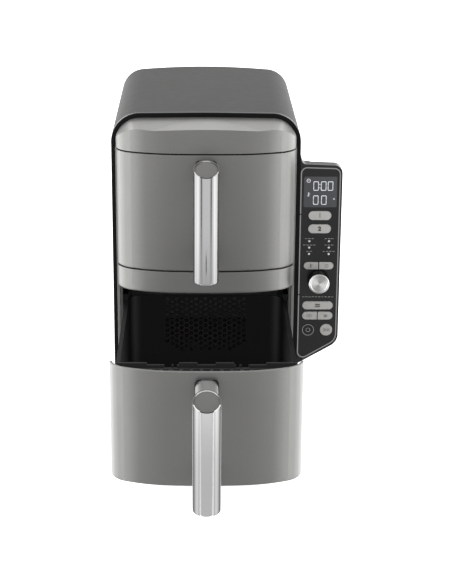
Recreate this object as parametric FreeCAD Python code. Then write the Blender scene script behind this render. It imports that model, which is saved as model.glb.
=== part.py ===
"""Two-drawer stacked air fryer with a side control panel.

Millimetres, +Z up.  x = 0 is the middle of the body, y = 0 the front plane of the black
bezel (the drawers slide out towards -Y) and z = 0 the table.  On export the whole model is
moved so that its origin is the middle of the bottom of its bounding box.
"""
import FreeCAD
import Part
import math
import os

V = FreeCAD.Vector

# ---------------------------------------------------------------- driving dimensions
# housing
BODY_HALF = 114.3          # half width of the arched body
HEIGHT = 385.0             # table to the top of the body
BODY_DEPTH = 307.0         # bezel plane to the back of the shell
CORNER_R = 35.0            # top corners of the arch
REAR_R = 5.0               # rounding of the shell's back edges
CROWN = (1.4, 1500.0)      # rise of the top in its middle, and the radius there
REAR_CORNER_R = 31.0       # the shell's top is fuller and more domed at the back
REAR_RISE = 2.2
REAR_CROWN = (9.0, 1000.0)
REAR_WINDOW = ((-90, 90), (26, 358), 12)
SHELL_T = 2.6
CUT_PAST = 5.0             # how far a cutter runs past the wall it opens
FOOT_H = 10.0
BEZEL_DEPTH = 6.0
BEZEL_SIDE = 4.9
BEZEL_TOP = 5.5
SOFT_EDGE = 1.2
SLEEVE_END = 13.0          # how far the bezel and lips reach into the shell
STRIP_BACK = 10.0          # back of the fixed middle strip
PLAY = 0.2                 # assembly gap between fixed pieces
TRAY_T = 3.0
VENT_PITCH = 18.0
VENT_HALF = 3.0
VENT_Y = (200, 260)
FOOT_R = (11.0, 13.0)      # sole and root of a rubber foot
FOOT_X = 88.0
FOOT_Y = (24.0, 284.0)

# bowed fronts: three tangent arcs on each side of the middle
BOW = 35.5                 # how far the fronts stand forward of the bezel
BOW_R = 600.0
SHOULDER_R = 153.0
BOW_ANGLE = math.asin(40.0 / BOW_R)
SHOULDER_ANGLE = math.radians(23.0)
WALL = 2.8                 # moulded front walls

# heights of the front bands
PLINTH_TOP = 30.0
LOWER_FRONT = (31.0, 165.0)
MID_STRIP = (168.5, 196.0)
UPPER_FRONT = (197.0, 341.0)
FASCIA_BOTTOM = 342.8
FASCIA_BACK = 8.0

# top fascia: the outline in the bezel plane runs straight to a lower one ahead of the bow
FASCIA_PLAY = 0.1
FASCIA_CORNER_R = 29.9
NOSE_Y = -38.0
NOSE_HALF = 106.8
NOSE_TOP = 371.2
NOSE_CORNER_R = 34.0
NOSE_CROWN = (12.0, 650.0)
ARCH_FOOT = 300.0          # lower end of the fascia's outlines, cut off by its bottom plane

UPPER_HALF = 108.9         # half widths of the upper front and strip, and of the lower front
LOWER_HALF = 105.5
FRONT_BACK = -1.5          # back edges of the drawer fronts, ahead of the lips
FRONT_EDGES = (2.4, 0.8)   # rounding below and above
STRIP_HALF = 106.0         # the strip's neck between the lips
STRIP_EDGES = (3.0, 0.8)
FRONT_HALF = 109.2         # half width of the top fascia and the plinth
LIP = (106.2, 109.3)
LIP_PROUD = 0.8
LIP_EDGE = 0.6
PULL = 250.0               # the lower drawer stands open by this much

# cavities and baskets
LINER_HALF = 104.5
LINER_BACK = 262.0
SHEET = 1.0
LINER_HEIGHT = 134.0
LOWER_LINER_Z = 33.0
RIM_BELOW_TOP = 12.0       # basket rim below the top of its drawer front
BASKET_DEEP = 115.0
BASKET_HALF = 96.5
BASKET_Y = (4.0, 258.6)
BASKET_T = 1.5
BASKET_CORNER_R = 20.0
BASKET_EDGE = 10.0
BASKET_HOLE = (6.9, 4.9)   # pitch and width of the air holes
FLANGE_Y = (26, 236)
FLANGE_OUT = 3.1
PLATE_LIFT = 14.0          # crisper plate above the basket's underside
PLATE_T = 1.8
PLATE_GAP = 2.0            # round the plate inside the basket
PLATE_CORNER_R = 16.0
PLATE_SLOT = (2.4, 7.0)    # half width and half length
PLATE_PITCH = (13.0, 21.0)
FINGER_HOLE = (14, 9, 8.5)
BUMPER_X = (34.0, 16.0)    # a bumper's two sides, in from the plate's side
BUMPER_DEEP = 12.0
BUMPER_PROUD = 1.2
BRACKET_HALF = 99.0
LEDGE_HALF = 105.4
CREST_DROP = 10.0          # bracket crest below the top of its front
LEDGE_T = 2.0
LEDGE_SLOT = (3.6, -8.5, -1.5)   # half width and reach of the slots in the ledge
LEDGE_PITCH = 11.0
LOW_TAB = 3.7
HIGH_TAB = 6.0

# handles
TUBE_R = 15.0
TUBE_Y = -82.0
TUBE_WALL = 1.5
CAP_SLOPE = 0.487          # rise of the cut top of the tube, front to back
POST_HALF = 12.25
UPPER_TUBE = (198.5, 335.5)
LOWER_TUBE = (24.8, 150.6)

# fan, heater and motor behind each cavity
FAN_ABOVE_LINER = 88.0
FAN_OPENING = 84.0
GUARD_ACROSS = 88.0
GUARD_T = 1.2
GUARD_REACH = 36.0
GUARD_HOLE = (7.6, 5.2)    # pitch and width
FAN_R = 44.0
FAN_HUB_R = 8.0
FAN_Y = (266.0, 279.2)
FAN_SHEET = 1.2
SHAFT_R = 2.5
RUN_GAP = 0.05             # radial running clearance
MOTOR_PLATE_Y = 284.0
MOTOR_R = 28.0
MOTOR_LENGTH = 22.0
BLADES = 10
HEATER_R = 50.0
HEATER_TUBE_R = 3.2
HEATER_Y = 272.0
HEATER_LEG_X = 12.0

# rear cover
BACK_T = 2.0
HOOD_BACK = 315.0
COVER = ((-100, 100), (20, 364), 14)
HOOD = ((-66, 66), (58, 356), 16)
HOOD_WALL = 2.5
HOOD_EDGE = 3.0
LOUVRE_BANKS = (84, 260)
LOUVRES = 8
LOUVRE_PITCH = 9.5
LOUVRE = (46, 4.6)         # half length and height
SCREW_X = 95.0
SCREW_Z = (34.0, 192.0, 350.0)
SCREW_R = 1.7
SCREW_HEAD_R = 3.6
SCREW_HEAD_T = 2.2
SCREW_SLOT = (2.0, 0.4, 1.0)   # half length, half width and depth of the cross
GLAND = (82.0, 62.0)       # x and z of the mains inlet
GLAND_ACROSS = 15.0
COLLAR_R = 10.0
CORD_R = 3.6

# control panel
PANEL_DEPTH = 19.0
FASCIA_T = 2.5
PANEL_MID = 139.1
BUTTON_PROUD = 1.0
BUTTON_GAP = 0.35
KEY_FLANGE_Y = (2.9, 3.9)   # flange that catches each key behind the fascia
KEY_FLANGE = 0.9           # how much wider than its cap the flange is
DIAL_Z = 175.2
DIAL_R = 12.5
DIAL_PROUD = 17.0
STEM_R = 3.0
PANEL_RIGHT = 165.7

# keys and lights of the panel, as x and z ranges; True where an end is fully round
BUTTONS = {
    "zone_1": ((125.2, 153.0), (252.5, 263.6), True, True),
    "zone_2": ((125.2, 153.0), (235.7, 246.8), True, True),
    "temperature": ((120.9, 138.6), (189.3, 198.5), True, False),
    "time": ((139.6, 157.3), (189.3, 198.5), False, True),
    "stack": ((120.2, 158.0), (137.0, 147.4), True, True),
    "sync": ((120.2, 138.6), (123.6, 133.8), True, False),
    "match": ((139.6, 158.0), (123.6, 133.8), False, True),
}
ROUND_BUTTONS = {"power": (128.0, 110.0), "start_stop": (150.6, 110.0)}
ROUND_R = 7.6
DISPLAY = ((118.9, 159.2), (268.5, 306.8))
LIGHTS = [(PANEL_MID + side * 12.1, z) for side in (-1, 1) for z in (225.4, 217.2, 209.0)]
LIGHT_R = 1.3

# the origin moves to the middle of the bottom of the bounding box
ORIGIN_SHIFT = V((BODY_HALF - PANEL_RIGHT) / 2, (PULL + TUBE_R - TUBE_Y - HOOD_BACK) / 2, 0)

NODES = {}


# ---------------------------------------------------------------- shape helpers
def keep(name, *shapes):
    """Store the solids of a named piece."""
    solids = []
    for shape in shapes:
        solids.extend(shape.Solids)
    NODES[name] = solids


def box(x, y, z):
    return Part.makeBox(x[1] - x[0], y[1] - y[0], z[1] - z[0], V(x[0], y[0], z[0]))


def rod_y(x, z, radius, y):
    return Part.makeCylinder(radius, y[1] - y[0], V(x, y[0], z), V(0, 1, 0))


def rod_z(x, y, radius, z):
    return Part.makeCylinder(radius, z[1] - z[0], V(x, y, z[0]), V(0, 0, 1))


def outline(corners, at):
    """Closed wire through corners (u, v, radius); at(u, v) puts a point in space."""
    spots = [V(u, v, 0) for u, v, _ in corners]
    stops = []
    for i, (_, _, radius) in enumerate(corners):
        here = spots[i]
        back = (spots[i - 1] - here).normalize()
        ahead = (spots[(i + 1) % len(spots)] - here).normalize()
        half = back.getAngle(ahead) / 2
        reach = radius / math.tan(half)
        middle = here + (back + ahead).normalize() * (radius / math.sin(half) - radius)
        stops.append([here + back * reach, middle, here + ahead * reach, radius])
    edges = []
    for i, (enter, middle, leave, radius) in enumerate(stops):
        if radius > 0:
            arc = [at(p.x, p.y) for p in (enter, middle, leave)]
            edges.append(Part.Arc(*arc).toShape())
        following = stops[(i + 1) % len(stops)][0]
        if leave.distanceToPoint(following) > 1e-6:
            edges.append(Part.makeLine(at(leave.x, leave.y), at(following.x, following.y)))
    return Part.Wire(edges)


def front_plate(corners, y, holes=()):
    """Prism along Y of an outline seen from the front, with optional hole outlines."""
    wires = [outline(c, lambda u, v: V(u, y[0], v)) for c in (corners, *holes)]
    face = Part.Face(wires) if holes else Part.Face(wires[0])
    face.validate()
    return face.extrude(V(0, y[1] - y[0], 0))


def plan_plate(corners, z, holes=()):
    """Prism along Z of an outline seen from above, with optional hole outlines."""
    wires = [outline(c, lambda u, v: V(u, v, z[0])) for c in (corners, *holes)]
    face = Part.Face(wires) if holes else Part.Face(wires[0])
    face.validate()
    return face.extrude(V(0, 0, z[1] - z[0]))


def rect(u, v, radius=0.0):
    return [(u[0], v[0], radius), (u[0], v[1], radius), (u[1], v[1], radius), (u[1], v[0], radius)]


def hexagon(u, v, across):
    """Hexagon with flat top and bottom, across its flats."""
    reach = across / math.sqrt(3)
    turn = math.pi / 3
    return [(u + reach * math.cos(k * turn), v + reach * math.sin(k * turn), 0) for k in range(6)]


def octagon(u, v, across):
    half = across / 2
    reach = half / math.cos(math.pi / 8)
    turn = math.pi / 4
    return [(u + reach * math.cos((k + 0.5) * turn), v + reach * math.sin((k + 0.5) * turn), 0)
            for k in range(8)]


def honeycomb(middle, pitch, inside):
    """Centres of a honeycomb of holes for which inside(u, v) is true."""
    spots = []
    column = pitch * math.cos(math.pi / 6)
    for i in range(-12, 13):
        for j in range(-12, 13):
            u = middle[0] + i * column
            v = middle[1] + (j + 0.5 * (i % 2)) * pitch
            if inside(u, v):
                spots.append((u, v))
    return spots


def edges_where(shape, test):
    return [edge for edge in shape.Edges if test(edge.BoundBox)]


def bow_prism(half_width, inset, back, z):
    """Block with the bowed front, its outline moved inwards by inset."""
    bow_centre = V(0, BOW_R - BOW, 0)
    toward = V(math.sin(BOW_ANGLE), -math.cos(BOW_ANGLE), 0)
    shoulder_centre = bow_centre + toward * (BOW_R - SHOULDER_R)
    out = V(math.sin(SHOULDER_ANGLE), -math.cos(SHOULDER_ANGLE), 0)
    reach = shoulder_centre.x + SHOULDER_R * out.x
    corner_r = (half_width - reach) / (1 - out.x)
    corner_centre = shoulder_centre + out * (SHOULDER_R - corner_r)

    def spot(centre, radius, angle, side):
        x = centre.x + (radius - inset) * math.sin(angle)
        return V(side * x, centre.y - (radius - inset) * math.cos(angle), z[0])

    right = math.pi / 2
    edges = []
    for side in (-1, 1):
        bow_end = spot(bow_centre, BOW_R, BOW_ANGLE, side)
        mid_1 = spot(shoulder_centre, SHOULDER_R, (BOW_ANGLE + SHOULDER_ANGLE) / 2, side)
        end_1 = spot(shoulder_centre, SHOULDER_R, SHOULDER_ANGLE, side)
        mid_2 = spot(corner_centre, corner_r, (SHOULDER_ANGLE + right) / 2, side)
        end_2 = spot(corner_centre, corner_r, right, side)
        heel = V(end_2.x, back, z[0])
        edges.append(Part.Arc(bow_end, mid_1, end_1).toShape())
        edges.append(Part.Arc(end_1, mid_2, end_2).toShape())
        edges.append(Part.makeLine(end_2, heel))
        if side < 0:
            left_heel = heel
            left_bow = bow_end
    tip = V(0, inset - BOW, z[0])
    edges.append(Part.Arc(left_bow, tip, bow_end).toShape())
    edges.append(Part.makeLine(left_heel, heel))
    wire = Part.Wire(Part.__sortEdges__(edges))
    return Part.Face(wire).extrude(V(0, 0, z[1] - z[0]))


def arch(side, top, foot, radius, crown=CROWN):
    """Corners of an arched outline, seen from the front."""
    rise, crown_r = crown
    slope = math.atan2(rise, side)
    apex = top + crown_r * (1 / math.cos(slope) - 1)
    eaves = apex - rise
    return [(-side, foot, 0), (-side, eaves, radius), (0, apex, crown_r), (side, eaves, radius),
            (side, foot, 0)]


def between(front, rear, y):
    """Solid that runs straight from one front-view outline to another."""
    wires = [outline(front, lambda u, v: V(u, y[0], v)), outline(rear, lambda u, v: V(u, y[1], v))]
    return Part.makeLoft(wires, True, True)


def ahead_of(y, half_width, z):
    """Everything in front of a plane, for trimming the backs of bowed pieces."""
    return box((-half_width, half_width), (-2 * BOW, y), z)


# ---------------------------------------------------------------- housing
def outer_shell():
    """Arched wrap with a turned-in back edge, open below and at the front."""
    def block(inset, y, foot, rear_r):
        front = arch(BODY_HALF - inset, HEIGHT - inset, foot, CORNER_R - inset)
        rear = arch(BODY_HALF - inset, HEIGHT + REAR_RISE - inset, foot, REAR_CORNER_R - inset,
                    REAR_CROWN)
        solid = between(front, rear, y)
        rim = edges_where(solid, lambda b: b.YMin > y[1] - 0.01 and b.ZMax > foot + 1)
        return solid.makeFillet(rear_r, rim)

    outer = block(0, (BEZEL_DEPTH, BODY_DEPTH), FOOT_H, REAR_R)
    inner = block(SHELL_T, (0, BODY_DEPTH - SHELL_T), FOOT_H - CUT_PAST, REAR_R - SHELL_T)
    through = (BODY_DEPTH - SHELL_T - CUT_PAST, BODY_DEPTH + CUT_PAST)
    shell = outer.cut(inner).cut(front_plate(rect(*REAR_WINDOW), through))
    for x, z in screw_spots():
        shell = shell.cut(rod_y(x, z, SCREW_R + PLAY, through))
    keep("outer_shell", shell)


def screw_spots():
    return [(side * SCREW_X, z) for side in (-1, 1) for z in SCREW_Z]


def front_bezel():
    """Black arched frame with a sleeve that plugs into the shell."""
    foot = FOOT_H
    face = front_plate(arch(BODY_HALF, HEIGHT, foot, CORNER_R), (0, BEZEL_DEPTH))
    rounded = edges_where(face, lambda b: b.YMax < 0.01 and b.ZMax > foot + 1)
    face = face.makeFillet(SOFT_EDGE, rounded)
    gap = SHELL_T + 2 * PLAY
    sleeve = front_plate(arch(BODY_HALF - gap, HEIGHT - gap, foot, CORNER_R - gap),
                         (BEZEL_DEPTH, SLEEVE_END))
    inside = arch(BODY_HALF - BEZEL_SIDE, HEIGHT - BEZEL_TOP, foot - CUT_PAST, CORNER_R - BEZEL_SIDE)
    hollow = front_plate(inside, (-CUT_PAST, SLEEVE_END + CUT_PAST))
    keep("front_bezel", face.fuse(sleeve).cut(hollow).removeSplitter())


def inner_lip():
    """Grey strips that line both sides of the drawer openings, with a stop behind them."""
    strips = []
    for side in (-1, 1):
        x = sorted((side * LIP[0], side * LIP[1]))
        stop_x = sorted((side * (LINER_HALF - SHEET + 0.1), side * LIP[1]))
        z = (PLINTH_TOP + PLAY, FASCIA_BOTTOM - PLAY)
        strip = box(x, (-LIP_PROUD, SLEEVE_END), z)
        stop = box(stop_x, (STRIP_BACK + PLAY, SLEEVE_END), z)
        solid = strip.fuse(stop).removeSplitter()
        front = edges_where(solid, lambda b: b.YMax < 0.1 - LIP_PROUD and b.ZLength > 100)
        strips.append(solid.makeFillet(LIP_EDGE, front))
    keep("inner_lip", *strips)


def top_fascia():
    """Grey band over the upper drawer; its top and corners slope down to the front."""
    def sloped(inset):
        nose = arch(NOSE_HALF - inset, NOSE_TOP - inset, ARCH_FOOT, NOSE_CORNER_R - inset, NOSE_CROWN)
        root = arch(FRONT_HALF - inset, HEIGHT - BEZEL_TOP - FASCIA_PLAY - inset, ARCH_FOOT,
                    FASCIA_CORNER_R - inset)
        return between(nose, root, (NOSE_Y, 0)).fuse(front_plate(root, (0, FASCIA_BACK)))

    outer = sloped(0).common(bow_prism(FRONT_HALF, 0, FASCIA_BACK, (FASCIA_BOTTOM, HEIGHT)))
    hollow_z = (FASCIA_BOTTOM + WALL, HEIGHT)
    inner = sloped(WALL).common(bow_prism(FRONT_HALF, WALL, SLEEVE_END, hollow_z))
    keep("top_fascia", outer.cut(inner).removeSplitter())


def mid_strip():
    """Fixed band between the drawers: a channel open to the back, with a neck between the lips."""
    band = bow_prism(UPPER_HALF, 0, SLEEVE_END, MID_STRIP)
    lower_edge = edges_where(band, lambda b: b.ZMax < MID_STRIP[0] + 0.01 and b.YMin < 0)
    band = band.makeFillet(STRIP_EDGES[0], lower_edge)
    upper_edge = edges_where(band, lambda b: b.ZMin > MID_STRIP[1] - 0.01 and b.YMin < 0)
    band = band.makeFillet(STRIP_EDGES[1], upper_edge)
    band = band.common(ahead_of(FRONT_BACK, BODY_HALF, MID_STRIP))
    neck = box((-STRIP_HALF, STRIP_HALF), (FRONT_BACK, STRIP_BACK), MID_STRIP)
    hollow_z = (MID_STRIP[0] + WALL, MID_STRIP[1] - WALL)
    inner = bow_prism(UPPER_HALF, WALL, SLEEVE_END, hollow_z)
    inner = inner.common(ahead_of(SLEEVE_END, STRIP_HALF - WALL, hollow_z))
    keep("mid_strip", band.fuse(neck).cut(inner).removeSplitter())


def base_tray():
    """Floor of the housing with a bowed plinth under the lower drawer."""
    plinth = bow_prism(FRONT_HALF, 0, SLEEVE_END, (FOOT_H, PLINTH_TOP))
    edge = edges_where(plinth, lambda b: b.ZMin > PLINTH_TOP - 0.01 and b.YMin < 0)
    plinth = plinth.makeFillet(SOFT_EDGE, edge)
    hollow = bow_prism(FRONT_HALF, WALL, SLEEVE_END - WALL, (FOOT_H - 1, PLINTH_TOP - WALL))
    half = BODY_HALF - SHELL_T - PLAY
    back = BODY_DEPTH - SHELL_T - PLAY
    corners = [(-half, SLEEVE_END, 0), (-half, back, REAR_R), (half, back, REAR_R), (half, SLEEVE_END, 0)]
    floor_plate = plan_plate(corners, (FOOT_H, FOOT_H + TRAY_T))
    tray = plinth.cut(hollow).fuse(floor_plate).removeSplitter()
    for k in range(-4, 5):
        x = VENT_PITCH * k
        slot = rect((x - VENT_HALF, x + VENT_HALF), VENT_Y, VENT_HALF - 0.1)
        tray = tray.cut(plan_plate(slot, (FOOT_H - 1, FOOT_H + TRAY_T + 1)))
    keep("base_tray", tray)


def feet():
    solids = []
    for x in (-FOOT_X, FOOT_X):
        for y in FOOT_Y:
            foot = Part.makeCone(*FOOT_R, FOOT_H, V(x, y, 0), V(0, 0, 1))
            sole = edges_where(foot, lambda b: b.ZMax < 0.01)
            solids.append(foot.makeFillet(1.5, sole))
    keep("feet", *solids)


def back_panel():
    """Screwed rear cover with a shallow vent hood in its middle."""
    cover = front_plate(rect(*COVER), (BODY_DEPTH, BODY_DEPTH + BACK_T))
    hood = front_plate(rect(*HOOD), (BODY_DEPTH, HOOD_BACK))
    edge = edges_where(hood, lambda b: b.YMin > HOOD_BACK - 0.01)
    hood = hood.makeFillet(HOOD_EDGE, edge)
    hollow = inset_corners(rect(*HOOD), HOOD_WALL)
    inside = front_plate(hollow, (BODY_DEPTH - 1, HOOD_BACK - BACK_T))
    panel = cover.fuse(hood).removeSplitter().cut(inside)
    half, height = LOUVRE
    slots = []
    for bank in LOUVRE_BANKS:
        for k in range(LOUVRES):
            z = bank + LOUVRE_PITCH * k
            slot = rect((-half, half), (z, z + height), height / 2 - 0.1)
            slots.append(front_plate(slot, (HOOD_BACK - 2 * BACK_T, HOOD_BACK + 1)))
    panel = panel.cut(Part.makeCompound(slots))
    through = (BODY_DEPTH - 1, BODY_DEPTH + CUT_PAST)
    for x, z in screw_spots():
        panel = panel.cut(rod_y(x, z, SCREW_R + PLAY, through))
    panel = panel.cut(front_plate(octagon(GLAND[0], GLAND[1], GLAND_ACROSS), through))
    keep("back_panel", panel)


def cord_gland():
    """Inlet for the mains cord: an eight-sided plug with a round collar."""
    plug = octagon(GLAND[0], GLAND[1], GLAND_ACROSS - PLAY)
    plug = front_plate(plug, (BODY_DEPTH - 6, BODY_DEPTH + BACK_T))
    collar = rod_y(GLAND[0], GLAND[1], COLLAR_R, (BODY_DEPTH + BACK_T, HOOD_BACK))
    edge = edges_where(collar, lambda b: b.YMin > HOOD_BACK - 0.01)
    collar = collar.makeFillet(SOFT_EDGE, edge)
    bore = rod_y(GLAND[0], GLAND[1], CORD_R, (BODY_DEPTH - 10, HOOD_BACK + 1))
    keep("cord_gland", plug.fuse(collar).cut(bore))


def housing_screws():
    solids = []
    half, narrow, deep = SCREW_SLOT
    bottom = BODY_DEPTH + BACK_T
    top = bottom + SCREW_HEAD_T
    for x, z in screw_spots():
        head = rod_y(x, z, SCREW_HEAD_R, (bottom, top))
        edge = edges_where(head, lambda b: b.YMin > top - 0.1)
        head = head.makeFillet(0.8, edge)
        shank = rod_y(x, z, SCREW_R, (BODY_DEPTH - 8, bottom))
        for turn in (0, 90):
            slot = box((x - half, x + half), (top - deep, top + 1), (z - narrow, z + narrow))
            slot.rotate(V(x, 0, z), V(0, 1, 0), turn)
            head = head.cut(slot)
        solids.append(head.fuse(shank))
    keep("housing_screws", *solids)


# ---------------------------------------------------------------- cavities
def liner(name, z0):
    """Sheet-metal oven box, open in front, with an eight-sided fan opening behind."""
    z1 = z0 + LINER_HEIGHT
    outer = box((-LINER_HALF, LINER_HALF), (SLEEVE_END, LINER_BACK + SHEET), (z0, z1))
    wall = LINER_HALF - SHEET
    inner = box((-wall, wall), (0, LINER_BACK), (z0 + SHEET, z1 - SHEET))
    fan_hole = octagon(0, z0 + FAN_ABOVE_LINER, FAN_OPENING)
    fan_hole = front_plate(fan_hole, (LINER_BACK - 1, LINER_BACK + CUT_PAST))
    keep(name, outer.cut(inner).cut(fan_hole))


def fan_guard(name, z0):
    """Perforated eight-sided plate over the fan opening."""
    middle = (0, z0 + FAN_ABOVE_LINER)

    def inside(u, v):
        return math.hypot(u - middle[0], v - middle[1]) < GUARD_REACH

    pitch, across = GUARD_HOLE
    holes = [hexagon(u, v, across) for u, v in honeycomb(middle, pitch, inside)]
    plate = octagon(middle[0], middle[1], GUARD_ACROSS)
    keep(name, front_plate(plate, (LINER_BACK - GUARD_T, LINER_BACK), holes))


def slide_rails(liners):
    """Ledges on the cavity walls that carry the basket flanges, with relief pockets."""
    solids = []
    for rim in liners:
        z = (rim - 11.0, rim - BASKET_T - 0.5)
        for side in (-1, 1):
            x = sorted((side * (BASKET_HALF + 0.8), side * (LINER_HALF - SHEET)))
            rail = box(x, (16, 250), z)
            for k in range(6):
                y = 24 + 38 * k
                pocket_x = sorted((side * (BASKET_HALF + 4.2), side * (LINER_HALF - SHEET - 0.8)))
                rail = rail.cut(box(pocket_x, (y, y + 26), (z[1] - 4, z[1] + 1)))
            solids.append(rail)
    keep("slide_rails", *solids)


def open_ring(ring_r, tube_r, centre, half_gap):
    """Ring of round tube about the Y axis, open at the bottom by twice half_gap degrees."""
    section = Part.Face(Part.Wire(Part.makeCircle(tube_r, centre + V(0, 0, -ring_r), V(1, 0, 0))))
    section.rotate(centre, V(0, 1, 0), half_gap)
    return section.revolve(centre, V(0, 1, 0), 360 - 2 * half_gap)


def fan_unit(level, z0):
    """Fan, shaft, ring heater and motor on one axis behind a cavity."""
    z = z0 + FAN_ABOVE_LINER
    hub = rod_y(0, z, FAN_HUB_R, FAN_Y)
    disc = rod_y(0, z, FAN_R, (FAN_Y[1] - FAN_SHEET, FAN_Y[1]))
    blades = []
    for k in range(BLADES):
        blade = box((FAN_HUB_R - 1, FAN_R - 0.5), (FAN_Y[0] + 1, FAN_Y[1] - FAN_SHEET / 2),
                    (z - FAN_SHEET / 2, z + FAN_SHEET / 2))
        blade.rotate(V(0, 0, z), V(0, 1, 0), 360 / BLADES * k)
        blades.append(blade)
    keep(level + "_fan", disc.fuse([hub, *blades]).cut(rod_y(0, z, SHAFT_R, (260, 300))))
    keep(level + "_fan_shaft", rod_y(0, z, SHAFT_R, (264.5, 300)))

    half_gap = math.asin(HEATER_LEG_X / HEATER_R)
    heater = open_ring(HEATER_R, HEATER_TUBE_R, V(0, HEATER_Y, z), math.degrees(half_gap))
    for side in (-1, 1):
        leg_y = (HEATER_Y, MOTOR_PLATE_Y + 6)
        heater = heater.fuse(rod_y(side * HEATER_LEG_X, z - HEATER_R * math.cos(half_gap),
                                   HEATER_TUBE_R, leg_y))
    keep(level + "_heater", heater)

    front = MOTOR_PLATE_Y + SHEET
    body = rod_y(0, z, MOTOR_R, (front, front + MOTOR_LENGTH))
    body = body.makeFillet(3, edges_where(body, lambda b: b.YMin > front + MOTOR_LENGTH - 1))
    bore = rod_y(0, z, SHAFT_R + RUN_GAP, (MOTOR_PLATE_Y - 5, 301))
    keep(level + "_motor", body.cut(bore))


def motor_plate(fan_heights):
    """Sheet behind both fans; motors and heater legs pass through it."""
    plate = box((-88, 88), (MOTOR_PLATE_Y, MOTOR_PLATE_Y + SHEET), (40, 348))
    for z in fan_heights:
        plate = plate.cut(front_plate(octagon(0, z, 14), (MOTOR_PLATE_Y - 1, MOTOR_PLATE_Y + 2)))
        plate = plate.cut(box((-18, 18), (MOTOR_PLATE_Y - 1, MOTOR_PLATE_Y + 2), (z - 55, z - 43)))
    for z in (60, 210, 330):
        for side in (-1, 1):
            tab = box(sorted((side * 80, side * 88)), (LINER_BACK + SHEET, MOTOR_PLATE_Y), (z, z + 14))
            plate = plate.fuse(tab)
    keep("motor_plate", plate.removeSplitter())


def small_electrics(rims):
    """Temperature probes, drawer switches and the power board."""
    probes = []
    switches = []
    for rim in rims:
        tip = rod_y(70, rim + 8, 2.5, (244, LINER_BACK))
        edge = edges_where(tip, lambda b: b.YMax < 244.1)
        probes.append(tip.makeFillet(1.2, edge))
        x = (-LINER_HALF - 6.3, -LINER_HALF)
        block = box(x, (22, 42), (rim - 60, rim - 50))
        lever = box((-LINER_HALF - 4, -LINER_HALF - 2), (19, 22), (rim - 58, rim - 52))
        switches.append(block.fuse(lever))
    keep("temperature_sensors", *probes)
    keep("interlock_switches", *switches)

    board = box((-70, 70), (60, 210), (352, 353.6))
    parts = [box((-60, -38), (80, 110), (353.6, 371)), box((-30, -12), (80, 112), (353.6, 369)),
             box((5, 45), (75, 115), (353.6, 372)), box((-60, -20), (150, 180), (353.6, 368)),
             rod_z(10, 160, 9, (353.6, 373)), rod_z(38, 160, 9, (353.6, 373))]
    for x in (-64, 64):
        for y in (66, 204):
            parts.append(box((x - 3, x + 3), (y - 3, y + 3), (344, 352)))
    keep("power_board", board.fuse(parts))


# ---------------------------------------------------------------- drawers
def drawer(level, half, front_z, tube_z, pull):
    """One drawer, built closed and then slid out by pull."""
    first = set(NODES)
    z0, z1 = front_z
    rim = z1 - RIM_BELOW_TOP
    drawer_front(level, half, z0, z1)
    drawer_bracket(level, half, z0, z1)
    basket(level, rim)
    handle(level, z1, tube_z)
    crisper(level, rim)
    for name in set(NODES) - first:
        for solid in NODES[name]:
            solid.translate(V(0, -pull, 0))


def drawer_front(level, half, z0, z1):
    """Bowed front shell, open at the top and the back."""
    outer = bow_prism(half, 0, SLEEVE_END, (z0, z1))
    edge = edges_where(outer, lambda b: b.ZMax < z0 + 0.01 and b.YMin < 0)
    outer = outer.makeFillet(FRONT_EDGES[0], edge)
    edge = edges_where(outer, lambda b: b.ZMin > z1 - 0.01 and b.YMin < 0)
    outer = outer.makeFillet(FRONT_EDGES[1], edge)
    inner = bow_prism(half, WALL, SLEEVE_END, (z0 + WALL, z1 + 1))
    keep(level + "_drawer_front", outer.common(ahead_of(FRONT_BACK, BODY_HALF, (z0, z1))).cut(inner))


def drawer_bracket(level, half, z0, z1):
    """Dark moulding behind the front: a castellated wall with a slotted ledge and a foot."""
    wall_y = (1.0, BASKET_Y[0])
    base = z0 + WALL + 4
    crest = z1 - CREST_DROP
    steps = ((10, LOW_TAB), (30, HIGH_TAB), (32, LOW_TAB), (36, 0), (38, LOW_TAB), (46, 0),
             (65, LOW_TAB), (BRACKET_HALF, HIGH_TAB))
    right = []
    x = 0
    for reach, rise in steps:
        right.extend([(x, crest + rise, 0), (reach, crest + rise, 0)])
        x = reach
    left = [(-x, z, 0) for x, z, _ in reversed(right)]
    top = left[:-1] + right[1:]
    wall = front_plate([(-BRACKET_HALF, base, 0), *top, (BRACKET_HALF, base, 0)], wall_y)
    ahead = ahead_of(wall_y[0], LEDGE_HALF, (z0, z1))
    ledge = bow_prism(half, WALL, SLEEVE_END, (crest - LEDGE_T, crest)).common(ahead)
    slot_half, slot_front, slot_back = LEDGE_SLOT
    for k in range(-8, 9):
        x = LEDGE_PITCH * k
        slot = box((x - slot_half, x + slot_half), (slot_front, slot_back), (crest - CUT_PAST, crest + 1))
        ledge = ledge.cut(slot)
    foot = bow_prism(half, WALL, SLEEVE_END, (base, base + LEDGE_T)).common(ahead)
    keep(level + "_drawer_bracket", wall.fuse([ledge, foot]).removeSplitter())


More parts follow.
